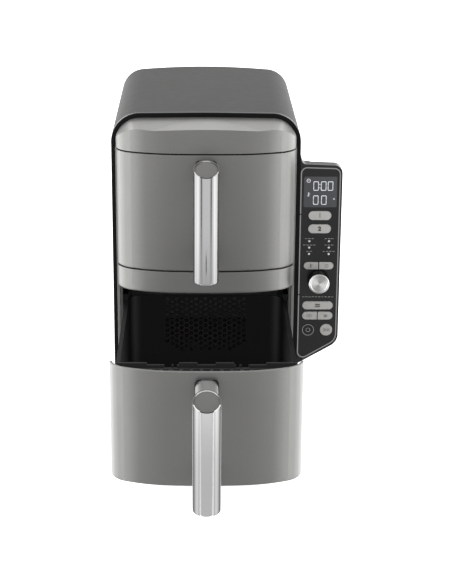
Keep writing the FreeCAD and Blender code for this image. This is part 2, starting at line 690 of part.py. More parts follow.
def basket(level, rim):
    """Pressed basket with side flanges and a honeycomb of air holes in its back wall."""
    floor_z = rim - BASKET_DEEP
    half = BASKET_HALF
    outer = plan_plate(rect((-half, half), BASKET_Y, BASKET_CORNER_R), (floor_z, rim))
    outer = outer.makeFillet(BASKET_EDGE, edges_where(outer, lambda b: b.ZMax < floor_z + 0.01))
    t = BASKET_T
    inner_y = (BASKET_Y[0] + t, BASKET_Y[1] - t)
    inner = rect((t - half, half - t), inner_y, BASKET_CORNER_R - t)
    inner = plan_plate(inner, (floor_z + t, rim + CUT_PAST))
    inner = inner.makeFillet(BASKET_EDGE - t, edges_where(inner, lambda b: b.ZMax < floor_z + t + 0.01))
    flanges = []
    for side in (-1, 1):
        x = sorted((side * (half - 0.8), side * (half + FLANGE_OUT)))
        flanges.append(box(x, FLANGE_Y, (rim - t, rim)))
    body = outer.fuse(flanges).cut(inner)
    middle = (0, rim - 33)

    def inside(u, v):
        across = abs(u)
        rise = abs(v - middle[1])
        return across < 53 and v < rim - 5 and rise < 38 and across + rise < 76

    holes = []
    pitch, across = BASKET_HOLE
    for u, v in honeycomb(middle, pitch, inside):
        through = (BASKET_Y[1] - CUT_PAST, BASKET_Y[1] + CUT_PAST)
        holes.append(front_plate(hexagon(u, v, across), through))
    keep(level + "_basket", body.cut(Part.makeCompound(holes)))


def handle(level, front_top, tube_z):
    """Upright tube cut off at a slope, its end cap and the two posts that carry it."""
    z0, cut_z = tube_z
    rise = CAP_SLOPE * TUBE_R

    def below_cut(drop, size=40):
        """Everything under the sloped cut, lowered by drop."""
        low = cut_z - drop - CAP_SLOPE * size
        high = cut_z - drop + CAP_SLOPE * size
        corners = [(TUBE_Y - size, z0 - 50), (TUBE_Y - size, low), (TUBE_Y + size, high),
                   (TUBE_Y + size, z0 - 50)]
        wire = Part.makePolygon([V(-size, y, z) for y, z in corners] + [V(-size, *corners[0])])
        return Part.Face(wire).extrude(V(2 * size, 0, 0))

    body = rod_z(0, TUBE_Y, TUBE_R, (z0, cut_z + rise + 1))
    body = body.makeFillet(2.5, edges_where(body, lambda b: b.ZMax < z0 + 0.01))
    body = body.common(below_cut(0))
    bore = rod_z(0, TUBE_Y, TUBE_R - TUBE_WALL, (z0 + 2, cut_z + rise + 5))
    keep(level + "_handle_tube", body.cut(bore))

    plug = rod_z(0, TUBE_Y, TUBE_R - TUBE_WALL, (cut_z - 40, cut_z + rise + 5))
    keep(level + "_handle_cap", plug.common(below_cut(0.7)).cut(below_cut(4.5)))

    front = bow_prism(LOWER_HALF, 0, 30, (z0 - 60, front_top + 60))
    tube = rod_z(0, TUBE_Y, TUBE_R, (z0 - 60, front_top + 60))
    posts = []
    top = min(front_top - 7, cut_z + rise - 0.6)
    for hi, height, r_top, r_low in ((top, 26, 9, 4), (z0 + 34, 22, 4, 4)):
        corners = [(-POST_HALF, hi - height, r_low), (-POST_HALF, hi, r_top),
                   (POST_HALF, hi, r_top), (POST_HALF, hi - height, r_low)]
        post = front_plate(corners, (TUBE_Y, -20)).cut(tube).cut(front)
        posts.append(max(post.Solids, key=lambda s: s.Volume))
    keep(level + "_handle_posts", *posts)


def crisper(level, rim):
    """Slotted plate that lifts out of the basket, with four silicone corner bumpers."""
    floor_z = rim - BASKET_DEEP
    z = floor_z + PLATE_LIFT
    inset = BASKET_T + PLATE_GAP
    half = BASKET_HALF - inset
    y = (BASKET_Y[0] + inset, BASKET_Y[1] - inset)
    mid_y = (y[0] + y[1]) / 2
    holes = []
    for i in range(-6, 7):
        for j in range(-5, 6):
            u = PLATE_PITCH[0] * i
            v = mid_y + PLATE_PITCH[1] * j
            if abs(i) < 2 and abs(j) < 2:
                continue
            wide, deep = PLATE_SLOT
            holes.append(rect((u - wide, u + wide), (v - deep, v + deep), wide - 0.1))
    wide, deep, radius = FINGER_HOLE
    holes.append(rect((-wide, wide), (mid_y - deep, mid_y + deep), radius))
    plate = plan_plate(rect((-half, half), y, PLATE_CORNER_R), (z, z + PLATE_T), holes)
    keep(level + "_crisper_plate", plate)

    grips = []
    for sx in (-1, 1):
        for sy in (-1, 1):
            x = sorted((sx * (half - BUMPER_X[0]), sx * (half - BUMPER_X[1])))
            edge_y = y[1] if sy > 0 else y[0]
            inner_y = edge_y - sy * BUMPER_DEEP
            outer_y = edge_y + sy * BUMPER_PROUD
            leg = box(x, sorted((inner_y, edge_y - sy * 4)), (floor_z + BASKET_T + 1.7, z - 2))
            pad = box(x, sorted((inner_y, outer_y)), (z - 2, z))
            lip = box(x, sorted((edge_y + sy * 0.05, outer_y)), (z, z + 3.5))
            grips.append(leg.fuse([pad, lip]).removeSplitter())
    keep(level + "_crisper_bumpers", *grips)


# ---------------------------------------------------------------- control panel
def panel_block(y, rounding, round_back):
    """Slab of the side panel: rounded along its outer edge and flared into the bezel on top."""
    left = BODY_HALF
    top = 322.4
    corners = [(left, 64.0, 0), (left, top, 0), (PANEL_RIGHT, top - 2.0, 10), (PANEL_RIGHT, 93.6, 18)]
    slab = front_plate(corners, y)
    face_y = y[1] if round_back else y[0]
    rim = edges_where(slab, lambda b: b.YLength < 0.01 and abs(b.YMin - face_y) < 0.01
                      and b.XMax > left + 1)
    slab = slab.makeFillet(rounding, rim)
    flare = front_plate([(left, top - 5, 0), (left, 331.0, 0), (left + 0.9, 331.0, 0),
                         (left + 1.9, top - 0.1, 6), (left + 12, top - 0.48, 0),
                         (left + 12, top - 5, 0)], (y[0] + 0.2, y[1] - 0.2))
    return slab.fuse(flare)


def inset_corners(corners, inset):
    """Corners of the outline moved inwards; they run clockwise."""
    moved = []
    count = len(corners)
    for i, (u, v, radius) in enumerate(corners):
        here = V(u, v, 0)
        ahead = (V(*corners[(i + 1) % count][:2], 0) - here).normalize()
        back = (here - V(*corners[i - 1][:2], 0)).normalize()
        n0 = V(back.y, -back.x, 0)
        n1 = V(ahead.y, -ahead.x, 0)
        shift = (n0 + n1) * (inset / (1 + n0.dot(n1)))
        convex = back.cross(ahead).z < 0
        new_radius = max(radius - inset, 0) if convex else radius + inset
        moved.append((u + shift.x, v + shift.y, new_radius if radius > 0 else 0))
    return moved


def trim_outline():
    left = BODY_HALF + 0.5
    return [(left, 67.2, 7.5), (left, 318.8, 8), (163.4, 317.4, 8), (163.4, 96.0, 15)]


def pill(x, z, left, right, grow=0.0):
    """Corners of a button seen from the front, fully rounded at the chosen ends."""
    x0 = x[0] - (grow if left else 0)
    x1 = x[1] + (grow if right else 0)
    z0 = z[0] - grow
    z1 = z[1] + grow
    full = (z1 - z0) / 2 - 0.01
    r_left = full if left else 0.6
    r_right = full if right else 0.6
    return [(x0, z0, r_left), (x0, z1, r_left), (x1, z1, r_right), (x1, z0, r_right)]


def buttons():
    """Sprung keys: a proud cap and a wider flange caught behind the fascia."""
    for name, (x, z, left, right) in BUTTONS.items():
        cap = front_plate(pill(x, z, left, right), (-BUTTON_PROUD, KEY_FLANGE_Y[1]))
        rim = edges_where(cap, lambda b: b.YMax < 0.01 - BUTTON_PROUD)
        cap = cap.makeFillet(0.4, rim)
        flange = front_plate(pill(x, z, left, right, KEY_FLANGE), KEY_FLANGE_Y)
        keep("button_" + name, cap.fuse(flange).removeSplitter())
    for name, (x, z) in ROUND_BUTTONS.items():
        cap = rod_y(x, z, ROUND_R, (-BUTTON_PROUD, KEY_FLANGE_Y[1]))
        rim = edges_where(cap, lambda b: b.YMax < 0.01 - BUTTON_PROUD)
        cap = cap.makeFillet(0.5, rim)
        flange = rod_y(x, z, ROUND_R + KEY_FLANGE, KEY_FLANGE_Y)
        keep("button_" + name, cap.fuse(flange).removeSplitter())


def fascia_openings():
    """Cutters for everything that shows through the fascia."""
    y = (-5, FASCIA_T + 5)
    cutters = []
    done = set()
    for name, (x, z, left, right) in BUTTONS.items():
        if name in done:
            continue
        pair = {"temperature": "time", "sync": "match"}.get(name)
        if pair:
            x = (x[0], BUTTONS[pair][0][1])
            right = True
            done.add(pair)
        cutters.append(front_plate(pill(x, z, left, right, BUTTON_GAP), y))
    for x, z in ROUND_BUTTONS.values():
        cutters.append(rod_y(x, z, ROUND_R + BUTTON_GAP, y))
    for x, z in LIGHTS:
        cutters.append(rod_y(x, z, LIGHT_R, y))
    cutters.append(rod_y(PANEL_MID, DIAL_Z, STEM_R + 0.6, y))
    cutters.append(front_plate(rect(*DISPLAY, 2.0), y))
    return cutters


def control_panel():
    """Side panel: hollow back moulding, gloss fascia, trim, window, lights and boards."""
    back = panel_block((FASCIA_T, PANEL_DEPTH), 3.0, True)
    hollow = front_plate([(116.5, 66.5, 0), (116.5, 318, 2), (163.4, 317.4, 8), (163.4, 95.4, 15)],
                         (0, PANEL_DEPTH - 2.2))
    keep("panel_housing", back.cut(hollow))

    fascia = panel_block((0, FASCIA_T), 0.8, False)
    ring = front_plate(trim_outline(), (-0.3, 0.6), [inset_corners(trim_outline(), 1.3)])
    keep("panel_trim", ring)
    keep("panel_fascia", fascia.cut(Part.makeCompound(fascia_openings())).cut(ring))

    keep("display_window", front_plate(rect(*DISPLAY, 2.0), (-0.1, FASCIA_T)))
    keep("mode_lights", *[rod_y(x, z, LIGHT_R, (-0.2, FASCIA_T)) for x, z in LIGHTS])
    board = box((118, 162), (9.0, 10.6), (100, 312))
    screen = box((119.5, 158.6), (FASCIA_T + 0.5, 9.0), (269.5, 306))
    keep("control_board", board.fuse(screen).removeSplitter())


def dial():
    """Turned knob on its stem, and the encoder that the stem turns in."""
    z = DIAL_Z
    body = Part.makeCone(DIAL_R, DIAL_R + 0.9, DIAL_PROUD - 0.6, V(PANEL_MID, -DIAL_PROUD, z), V(0, 1, 0))
    edge = edges_where(body, lambda b: b.YMax < 0.01 - DIAL_PROUD)
    body = body.makeChamfer(0.9, edge)
    dish = rod_y(PANEL_MID, z, DIAL_R - 2.2, (-DIAL_PROUD - 1, -DIAL_PROUD + 0.4))
    stem = rod_y(PANEL_MID, z, STEM_R, (-2, 7.5))
    keep("dial_knob", body.cut(dish).fuse(stem))
    case = box((PANEL_MID - 6.5, PANEL_MID + 6.5), (FASCIA_T + 0.2, 9.0), (z - 6.5, z + 6.5))
    bore = rod_y(PANEL_MID, z, STEM_R + RUN_GAP, (0, 8.0))
    keep("dial_encoder", case.cut(bore))


# ---------------------------------------------------------------- assembly
def build():
    upper_rim = UPPER_FRONT[1] - RIM_BELOW_TOP
    lower_rim = LOWER_FRONT[1] - RIM_BELOW_TOP
    upper_liner_z = LOWER_LINER_Z + upper_rim - lower_rim
    outer_shell()
    front_bezel()
    inner_lip()
    top_fascia()
    mid_strip()
    base_tray()
    feet()
    back_panel()
    cord_gland()
    housing_screws()
    for level, z0 in (("upper", upper_liner_z), ("lower", LOWER_LINER_Z)):
        liner(level + "_liner", z0)
        fan_guard(level + "_fan_guard", z0)
        fan_unit(level, z0)
    slide_rails((upper_rim, lower_rim))
    motor_plate([z0 + FAN_ABOVE_LINER for z0 in (upper_liner_z, LOWER_LINER_Z)])
    small_electrics((upper_rim, lower_rim))
    control_panel()
    buttons()
    dial()
    drawer("upper", UPPER_HALF, UPPER_FRONT, UPPER_TUBE, 0.0)
    drawer("lower", LOWER_HALF, LOWER_FRONT, LOWER_TUBE, PULL)


def export():
    os.makedirs("parts", exist_ok=True)
    for name, solids in NODES.items():
        shape = solids[0] if len(solids) == 1 else Part.makeCompound(solids)
        shape.translate(ORIGIN_SHIFT)
        shape.exportStep("parts/" + name + ".step")
        print(name, len(solids), round(sum(s.Volume for s in solids)), all(s.isValid() for s in solids))


build()
export()
print(len(NODES), "nodes")
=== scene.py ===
# %% [markdown]
# Two-drawer air fryer: the looks around the engineered model.
#
# The engineered model brings every shell, drawer, basket and key at its size.  This lesson gives
# each of them its finish, and models by hand what shows most: the polished handle tubes, their
# end caps, the turned knob and everything printed on the panel.

import math

import bpy
from mathutils import Matrix, Vector


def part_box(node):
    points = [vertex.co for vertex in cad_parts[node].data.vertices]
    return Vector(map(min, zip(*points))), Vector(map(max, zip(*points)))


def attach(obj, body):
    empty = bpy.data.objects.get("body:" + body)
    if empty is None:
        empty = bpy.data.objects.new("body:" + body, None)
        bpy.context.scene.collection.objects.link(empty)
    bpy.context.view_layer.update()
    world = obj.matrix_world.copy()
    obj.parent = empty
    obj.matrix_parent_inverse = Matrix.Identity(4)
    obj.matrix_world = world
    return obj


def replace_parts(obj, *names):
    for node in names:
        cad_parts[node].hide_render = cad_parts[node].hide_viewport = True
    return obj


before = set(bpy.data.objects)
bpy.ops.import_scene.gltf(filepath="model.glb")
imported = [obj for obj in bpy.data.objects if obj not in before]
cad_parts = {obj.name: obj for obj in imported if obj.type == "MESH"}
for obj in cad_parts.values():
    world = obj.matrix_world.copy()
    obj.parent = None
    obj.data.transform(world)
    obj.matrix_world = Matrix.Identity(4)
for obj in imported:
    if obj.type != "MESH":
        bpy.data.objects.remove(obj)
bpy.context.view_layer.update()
MM = 0.001
LEVELS = ("upper", "lower")          # the two drawers, as their nodes are named
print("pieces in the frame:", len(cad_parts))


# %% [markdown]
# A few small helpers first.  Colours are written as sRGB hex values, the way a designer reads
# them off a swatch, and one function turns them to the linear values that shaders work in.
# One more function adds a shader node with its settings and links, so that each material below
# stays short enough to read.

# %% Helpers for colours, nodes and selection
def linear(swatch):
    """sRGB hex colour as linear RGBA."""
    channels = [int(swatch[i:i + 2], 16) / 255 for i in (1, 3, 5)]
    return (*[c / 12.92 if c <= 0.04045 else ((c + 0.055) / 1.055) ** 2.4 for c in channels], 1.0)


def add_node(tree, kind, inputs=None, **settings):
    """Add a shader node; inputs are values, or output sockets to link from."""
    node = tree.nodes.new("ShaderNode" + kind)
    for name, value in settings.items():
        setattr(node, name, value)
    for socket, value in (inputs or {}).items():
        if isinstance(value, bpy.types.NodeSocket):
            tree.links.new(value, node.inputs[socket])
        else:
            node.inputs[socket].default_value = value
    return node


def pick(*pieces):
    """Select only these objects, so that operators leave the rest alone."""
    bpy.ops.object.select_all(action="DESELECT")
    for piece in pieces:
        piece.select_set(True)
    bpy.context.view_layer.objects.active = pieces[0]


def select_faces(piece, wanted):
    """In edit mode, select the faces for which wanted(centre, normal) is true."""
    bpy.ops.object.mode_set(mode="OBJECT")
    for edge in piece.data.edges:
        edge.select = False
    for vertex in piece.data.vertices:
        vertex.select = False
    for face in piece.data.polygons:
        face.select = wanted(face.center, face.normal)
    bpy.ops.object.mode_set(mode="EDIT")
    bpy.ops.mesh.select_mode(type="FACE")


def bevel_through(plate, thickness, offset, segments):
    """Bevel the four edges of a flat plate that run through it, along Y."""
    for edge in plate.data.edges:
        ends = [plate.data.vertices[i].co for i in edge.vertices]
        edge.select = abs(ends[0].y - ends[1].y) > thickness / 2
    bpy.ops.object.mode_set(mode="EDIT")
    bpy.ops.mesh.select_mode(type="EDGE")
    bpy.ops.mesh.bevel(offset=offset, segments=segments, affect="EDGES")
    bpy.ops.object.mode_set(mode="OBJECT")


def joined(pieces):
    """One mesh object from several."""
    pick(*pieces)
    bpy.ops.object.join()
    return bpy.context.active_object


def settle(piece, name, body, material, smooth=30):
    """Finish a piece: place in the mesh, smooth shading, its material, and the body it rides on."""
    pick(piece)
    bpy.ops.object.transform_apply(location=True, rotation=True, scale=True)
    bpy.ops.object.shade_smooth_by_angle(angle=math.radians(smooth))
    piece.name = name
    piece.data.name = name
    piece.data.materials.clear()
    piece.data.materials.append(material)
    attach(piece, body)
    return piece


# %% [markdown]
# The camera stands nearly two metres in front of the fryer and looks down at it with a long lens,
# so that the two drawers keep nearly parallel sides.  Its three axes are worked out
# from its heading, its downward tilt and a slight roll.

# %% Camera
CAMERA_AT = Vector((-0.033591, -1.775822, 0.756659))
LENS = 93.88
HEADING = math.radians(1.055)
TILT_DOWN = math.radians(18.43)
ROLL = math.radians(0.396)

ahead = Vector((math.sin(HEADING) * math.cos(TILT_DOWN), math.cos(HEADING) * math.cos(TILT_DOWN),
                -math.sin(TILT_DOWN)))
level_right = Vector((math.cos(HEADING), -math.sin(HEADING), 0))
level_up = level_right.cross(ahead)
right = math.cos(ROLL) * level_right + math.sin(ROLL) * level_up
up = math.cos(ROLL) * level_up - math.sin(ROLL) * level_right
lens = bpy.data.cameras.new("camera")
lens.lens = LENS
camera = bpy.data.objects.new("camera", lens)
bpy.context.scene.collection.objects.link(camera)
camera.matrix_world = Matrix.LocRotScale(CAMERA_AT, Matrix((right, up, -ahead)).transposed(), None)
bpy.context.scene.camera = camera
bpy.context.scene.view_settings.view_transform = "Standard"
print("camera distance:", round(CAMERA_AT.length, 3), "m")


# %% [markdown]
# Satin paint and polished steel get their look from what they reflect: tall soft panels on both
# sides, a soft panel high behind, and a calmer field in front.  Panels could be area lights, but
# their edges would print hard shapes on the bowed fronts.  So the sky itself carries them, as
# soft-edged bands in azimuth and height, and the floor stays out of the reflections.  Azimuth is
# counted from straight ahead of the fryer, the same to the left and to the right, and height is
# the sine of the angle above the horizon.

# %% Studio sky
sky = bpy.data.worlds.new("studio")
bpy.context.scene.world = sky
sky.use_nodes = True
sky_tree = sky.node_tree
sky_tree.nodes.clear()


def band(value, start, end, soft):
    """1 between start and end, with soft edges of that width."""
    rise = add_node(sky_tree, "MapRange", {0: value, 1: start - soft, 2: start + soft},
                    interpolation_type="SMOOTHSTEP")
    fall = add_node(sky_tree, "MapRange", {0: value, 1: end - soft, 2: end + soft, 3: 1.0, 4: 0.0},
                    interpolation_type="SMOOTHSTEP")
    return times(rise.outputs[0], fall.outputs[0])


def times(a, b):
    return add_node(sky_tree, "Math", {0: a, 1: b}, operation="MULTIPLY").outputs[0]


def plus(a, b):
    return add_node(sky_tree, "Math", {0: a, 1: b}, operation="ADD").outputs[0]


direction = add_node(sky_tree, "TexCoord").outputs["Generated"]
axes = add_node(sky_tree, "SeparateXYZ", {0: direction}).outputs
backwards = times(axes[1], -1.0)
azimuth = add_node(sky_tree, "Math", {0: axes[0], 1: backwards}, operation="ARCTAN2").outputs[0]
around = add_node(sky_tree, "Math", {0: azimuth}, operation="ABSOLUTE").outputs[0]
height = axes[2]

SKY_UPPER = 1.0            # above the horizon, what the camera sees
SKY_LOWER = 0.72           # below the horizon, seen only in reflections
SKY_FLOOR = 0.45           # further down still
SIDE_PANELS = 3.0
SIDE_PANELS_LOW = 0.60     # share of their light that is left at their lower end
DARK_EDGES = -0.5          # flags beside the panels, which draw the thin dark lines on the tubes
BACK_PANEL = 1.8
SHOULDER_PANELS = 1.6      # behind on both sides, mirrored by the shoulders and the fronts' edges


def fade(value, start, end, low, high, **settings):
    """Run from low to high while the value goes from start to end."""
    run = add_node(sky_tree, "MapRange", {0: value, 1: start, 2: end, 3: low, 4: high}, **settings)
    return run.outputs[0]


def panel(azimuths, azimuth_soft, heights, height_soft):
    """Soft-edged patch of sky between two azimuths in degrees and two heights."""
    start, end = (math.radians(a) for a in azimuths)
    return times(band(around, start, end, azimuth_soft), band(height, *heights, height_soft))


above = fade(height, -0.12, 0.0, SKY_LOWER, SKY_UPPER, interpolation_type="SMOOTHSTEP")
deep = fade(height, -0.47, -0.34, SKY_FLOOR - SKY_LOWER, 0.0, interpolation_type="SMOOTHSTEP")
sides = times(panel((54, 126), 0.08, (-0.85, 0.70), 0.15),
              fade(height, -0.46, -0.32, SIDE_PANELS_LOW, 1.0))
flags = panel((39, 51), 0.05, (-0.36, -0.10), 0.06)
shoulders = panel((128, 174), 0.06, (-0.55, 0.15), 0.10)
back = panel((125, 190), 0.2, (0.45, 0.80), 0.10)
glow = plus(above, deep)
for shape, strength in ((sides, SIDE_PANELS), (flags, DARK_EDGES), (back, BACK_PANEL),
                        (shoulders, SHOULDER_PANELS)):
    glow = plus(glow, times(shape, strength))
sky_light = add_node(sky_tree, "Background", {"Color": (1, 1, 1, 1), "Strength": glow})
add_node(sky_tree, "OutputWorld", {"Surface": sky_light.outputs[0]})
print("sky nodes:", len(sky_tree.nodes))


# %% [markdown]
# The floor is a plain pale plane that runs out past the view.  It glows a little, which lifts it
# to white and leaves almost no shadow on it.  One broad lamp above and to the left lights the
# left shoulder a little more than the right.

# %% Floor and lamp
FLOOR_SIZE = 40.0
FLOOR_BELOW = 0.2 * MM     # keeps the floor from flickering through the feet
FLOOR_GLOW = 0.82
LAMP_AT = Vector((-0.9, -0.7, 1.9))
LAMP_AIM = Vector((0, 0, 0.2))
LAMP_WATTS = 14

bpy.ops.object.select_all(action="DESELECT")
bpy.ops.mesh.primitive_plane_add(size=FLOOR_SIZE, location=(0, 0, -FLOOR_BELOW))
floor = bpy.context.active_object
floor.name = "floor"
floor.visible_glossy = False
floor_paint = bpy.data.materials.new("floor_paint")
floor_paint.use_nodes = True
floor_shader = floor_paint.node_tree.nodes["Principled BSDF"]
floor_shader.inputs["Base Color"].default_value = linear("#d8d8d7")
floor_shader.inputs["Roughness"].default_value = 0.9
floor_shader.inputs["Specular IOR Level"].default_value = 0.0
floor_shader.inputs["Emission Color"].default_value = (1, 1, 1, 1)
floor_shader.inputs["Emission Strength"].default_value = FLOOR_GLOW
floor.data.materials.append(floor_paint)

bpy.ops.object.light_add(type="AREA", location=LAMP_AT)
lamp = bpy.context.active_object
lamp.name = "soft_lamp"
lamp.data.shape = "RECTANGLE"
lamp.data.size = 1.3
lamp.data.size_y = 1.0
lamp.data.energy = LAMP_WATTS
lamp.rotation_euler = (LAMP_AIM - LAMP_AT).to_track_quat("-Z", "Y").to_euler()
lamp.visible_camera = False
lamp.visible_glossy = False
print("floor and lamp placed")


# %% [markdown]
# Materials.  Almost everything here is moulded ABS or polypropylene, and what tells one moulding
# from another is its colour, its sheen and the fine grain that the mould was etched with.  One
# function makes them all: a fine noise bumps the surface at the grain's real size, and a second,
# much larger noise lets the sheen wander a little, as handled plastic does.

# %% Moulded plastics
def surface(name, colour, roughness, metallic=0.0, **sockets):
    """New material with a Principled shader; returns it with its tree and shader."""
    material = bpy.data.materials.new(name)
    material.use_nodes = True
    tree = material.node_tree
    shader = tree.nodes["Principled BSDF"]
    shader.inputs["Base Color"].default_value = linear(colour)
    shader.inputs["Roughness"].default_value = roughness
    shader.inputs["Metallic"].default_value = metallic
    for socket, value in sockets.items():
        shader.inputs[socket.replace("_", " ")].default_value = value
    return material, tree, shader


def object_place(tree, stretch=(1, 1, 1), centre=(0, 0, 0)):
    """Object coordinates, moved to a centre and stretched."""
    place = add_node(tree, "TexCoord").outputs["Object"]
    moved = add_node(tree, "VectorMath", {0: place, 1: centre}, operation="SUBTRACT").outputs[0]
    return add_node(tree, "VectorMath", {0: moved, 1: stretch}, operation="MULTIPLY").outputs[0]


def noise(tree, size, place=None, detail=2.0):
    """Noise with blobs of about that size in metres."""
    place = place or object_place(tree)
    return add_node(tree, "TexNoise", {"Vector": place, "Scale": 1 / size, "Detail": detail})


def vary(tree, value, low, high):
    """Stretch a 0.3-0.7 noise value over low to high."""
    return add_node(tree, "MapRange", {0: value, 1: 0.3, 2: 0.7, 3: low, 4: high}).outputs[0]


def bump(tree, shader, value, depth):
    """Raise the surface by depth metres where value is 1."""
    node = add_node(tree, "Bump", {"Height": value, "Distance": depth, "Strength": 1.0})
    tree.links.new(node.outputs[0], shader.inputs["Normal"])


def mix_colours(tree, factor, first, second):
    """First colour where factor is 0, second where it is 1."""
    mixer = add_node(tree, "Mix", {"Factor": factor, 6: linear(first), 7: linear(second)},
                     data_type="RGBA")
    return mixer.outputs[2]


def sideways_ramp(tree, stops):
    """Colour by how far the surface faces left or right, from 0, ahead, to 1, fully sideways."""
    facing = add_node(tree, "TexCoord").outputs["Normal"]
    sideways = add_node(tree, "SeparateXYZ", {0: facing}).outputs[0]
    sideways = add_node(tree, "Math", {0: sideways}, operation="ABSOLUTE").outputs[0]
    ramp = add_node(tree, "ValToRGB", {0: sideways})
    marks = ramp.color_ramp.elements
    for mark, (place, swatch) in zip((marks[0], marks[1]), (stops[0], stops[-1])):
        mark.position = place
        mark.color = linear(swatch)
    for place, swatch in stops[1:-1]:
        marks.new(place).color = linear(swatch)
    return ramp.outputs[0]


def moulding(name, colour, lighter, roughness, grain=0.8 * MM, depth=0.03 * MM, metallic=0.0, **sockets):
    """Moulded plastic: etched grain of that size and depth, drifting sheen, faint drift of colour."""
    material, tree, shader = surface(name, colour, roughness, metallic, **sockets)
    drift = noise(tree, 60 * MM).outputs[0]
    tree.links.new(mix_colours(tree, vary(tree, drift, 0.0, 1.0), colour, lighter),
                   shader.inputs["Base Color"])
    sheen = noise(tree, 12 * MM, detail=4.0).outputs[0]
    tree.links.new(vary(tree, sheen, roughness - 0.01, roughness + 0.015), shader.inputs["Roughness"])
    bump(tree, shader, noise(tree, grain).outputs[0], depth)
    return material


shell_plastic = moulding("satin_abs_shell", "#292928", "#2c2c2b", 0.52, 0.6 * MM, 0.008 * MM,
                         Specular_IOR_Level=0.10)
black_abs = moulding("polished_black_abs", "#070707", "#090909", 0.26, 2 * MM, 0.01 * MM,
                     Specular_IOR_Level=0.12)
inner_black = moulding("matt_black_polypropylene", "#101010", "#141414", 0.6, 1 * MM, 0.02 * MM,
                       Specular_IOR_Level=0.2)
cap_plastic = moulding("matt_grey_cap", "#4c4c4a", "#51504f", 0.55, 0.6 * MM, 0.02 * MM,
                       Specular_IOR_Level=0.3)
post_plastic = moulding("satin_grey_post", "#6f6f6d", "#757573", 0.36, 1 * MM, 0.01 * MM, 0.6)
key_plastic = moulding("satin_key", "#8f8e8c", "#959492", 0.45, 0.6 * MM, 0.01 * MM,
                       Specular_IOR_Level=0.35)
lip_plastic = moulding("pale_satin_lip", "#6f6f6d", "#757573", 0.4, 1 * MM, 0.01 * MM, 0.6)
rubber = moulding("silicone_rubber", "#1c1c1c", "#232323", 0.75, 0.9 * MM, 0.04 * MM)
lamp_cover = moulding("milky_diffuser", "#a9a9a7", "#b5b5b3", 0.4, 1 * MM, 0.01 * MM)
print("moulded plastics ready")


# %% [markdown]
# The drawer fronts are ABS sprayed with a grey metallic paint.  The paint is a thin film full of
# tiny aluminium flakes: it is part metal to the light, so it picks up the side panels in broad
# soft bands, and close to it the flakes sparkle.  Real flakes are a few hundredths of a millimetre
# wide and would not show, so here they are drawn half a millimetre wide and very faint.
#
# The light alone gives too narrow a bright band where the fronts bend round.  So the paint's own
# colour also changes with how far the surface faces sideways.  This is a painted highlight that
# widens the band, with darker bands of painted shade beside it.  At the very sides the paint also
# turns far less metallic, so its pale colour shows there as a painted highlight on the edge.  Real
# paint has one colour all over; this is a choice made for the look.

# %% Metallic paint
FLAKE = 0.5 * MM
METAL = 0.72
METAL_SHARES = [(0.80, "#dddddd"), (0.95, "#595959")]     # the same 0.72 ahead, 0.10 at the sides


def flake_paint(name, colour, lighter, roughness, painted_highlight):
    """Metallic paint; the last argument gives the share of its colour by how far the surface faces
    sideways: painted highlight and painted shade.
    """
    material, tree, shader = surface(name, colour, roughness, METAL, Coat_Weight=0.08)
    shader.inputs["Coat Roughness"].default_value = 0.3
    flakes = add_node(tree, "TexVoronoi", {"Vector": object_place(tree), "Scale": 1 / FLAKE})
    tint = vary(tree, flakes.outputs["Color"], 0.25, 0.75)
    flecked = mix_colours(tree, tint, colour, lighter)
    # The sideways ramp multiplies painted highlight and painted shade into the flecked colour.
    flecks_and_painted_light = add_node(tree, "Mix", {"Factor": 1.0, 6: flecked, 7: sideways_ramp(tree, painted_highlight)},
                    data_type="RGBA", blend_type="MULTIPLY")
    tree.links.new(flecks_and_painted_light.outputs[2], shader.inputs["Base Color"])
    tree.links.new(sideways_ramp(tree, METAL_SHARES), shader.inputs["Metallic"])
    wander = noise(tree, 30 * MM, detail=3.0).outputs[0]
    tree.links.new(vary(tree, wander, roughness - 0.02, roughness + 0.02), shader.inputs["Roughness"])
    bump(tree, shader, noise(tree, 4 * MM).outputs[0], 0.012 * MM)
    return material


FRONT_PAINTED_HIGHLIGHT = [            # how far sideways, share of the paint's colour as painted highlight and shade
    (0.1, "#d5d5d5"), (0.28, "#dddddd"), (0.37, "#f7f7f7"), (0.43, "#f2f2f2"), (0.5, "#dedede"),
    (0.62, "#cdcdcd"), (0.8, "#dedede"), (0.92, "#ffffff")
]
front_paint = flake_paint("grey_flake_paint", "#858583", "#8f8f8d", 0.43, FRONT_PAINTED_HIGHLIGHT)
print("paint ready")


# %% [markdown]
# The handles are stainless tube, drawn through a die and polished.  Drawing leaves hair-fine lines
# along the tube, which stretch each reflection lengthwise.  A noise that is squeezed across the
# tube and pulled long down it gives those lines.  The knob is aluminium turned on a lathe: its
# rings run round the axis, so the shader's anisotropy follows a radial tangent.  Its fan of bright
# and dull sectors is drawn into the colour as a painted highlight and painted shade.
#
# A round tube mirrors half the room as narrow stripes.  The sky sets where they lie, and the
# steel's colour from the tube's middle to its sides evens out how bright each one is.  This colour
# is painted highlight and painted shade on the reflections.  On the lower tube it darkens to
# painted shade at the very sides.  Real steel has one colour; this is a choice made for the look,
# and so is that the two tubes differ.

# %% Polished and turned metals
DRAWN_LINE = 0.4 * MM      # real lines are finer; these are as coarse as they need to be to show
DRAWN_DEPTH = 0.002 * MM


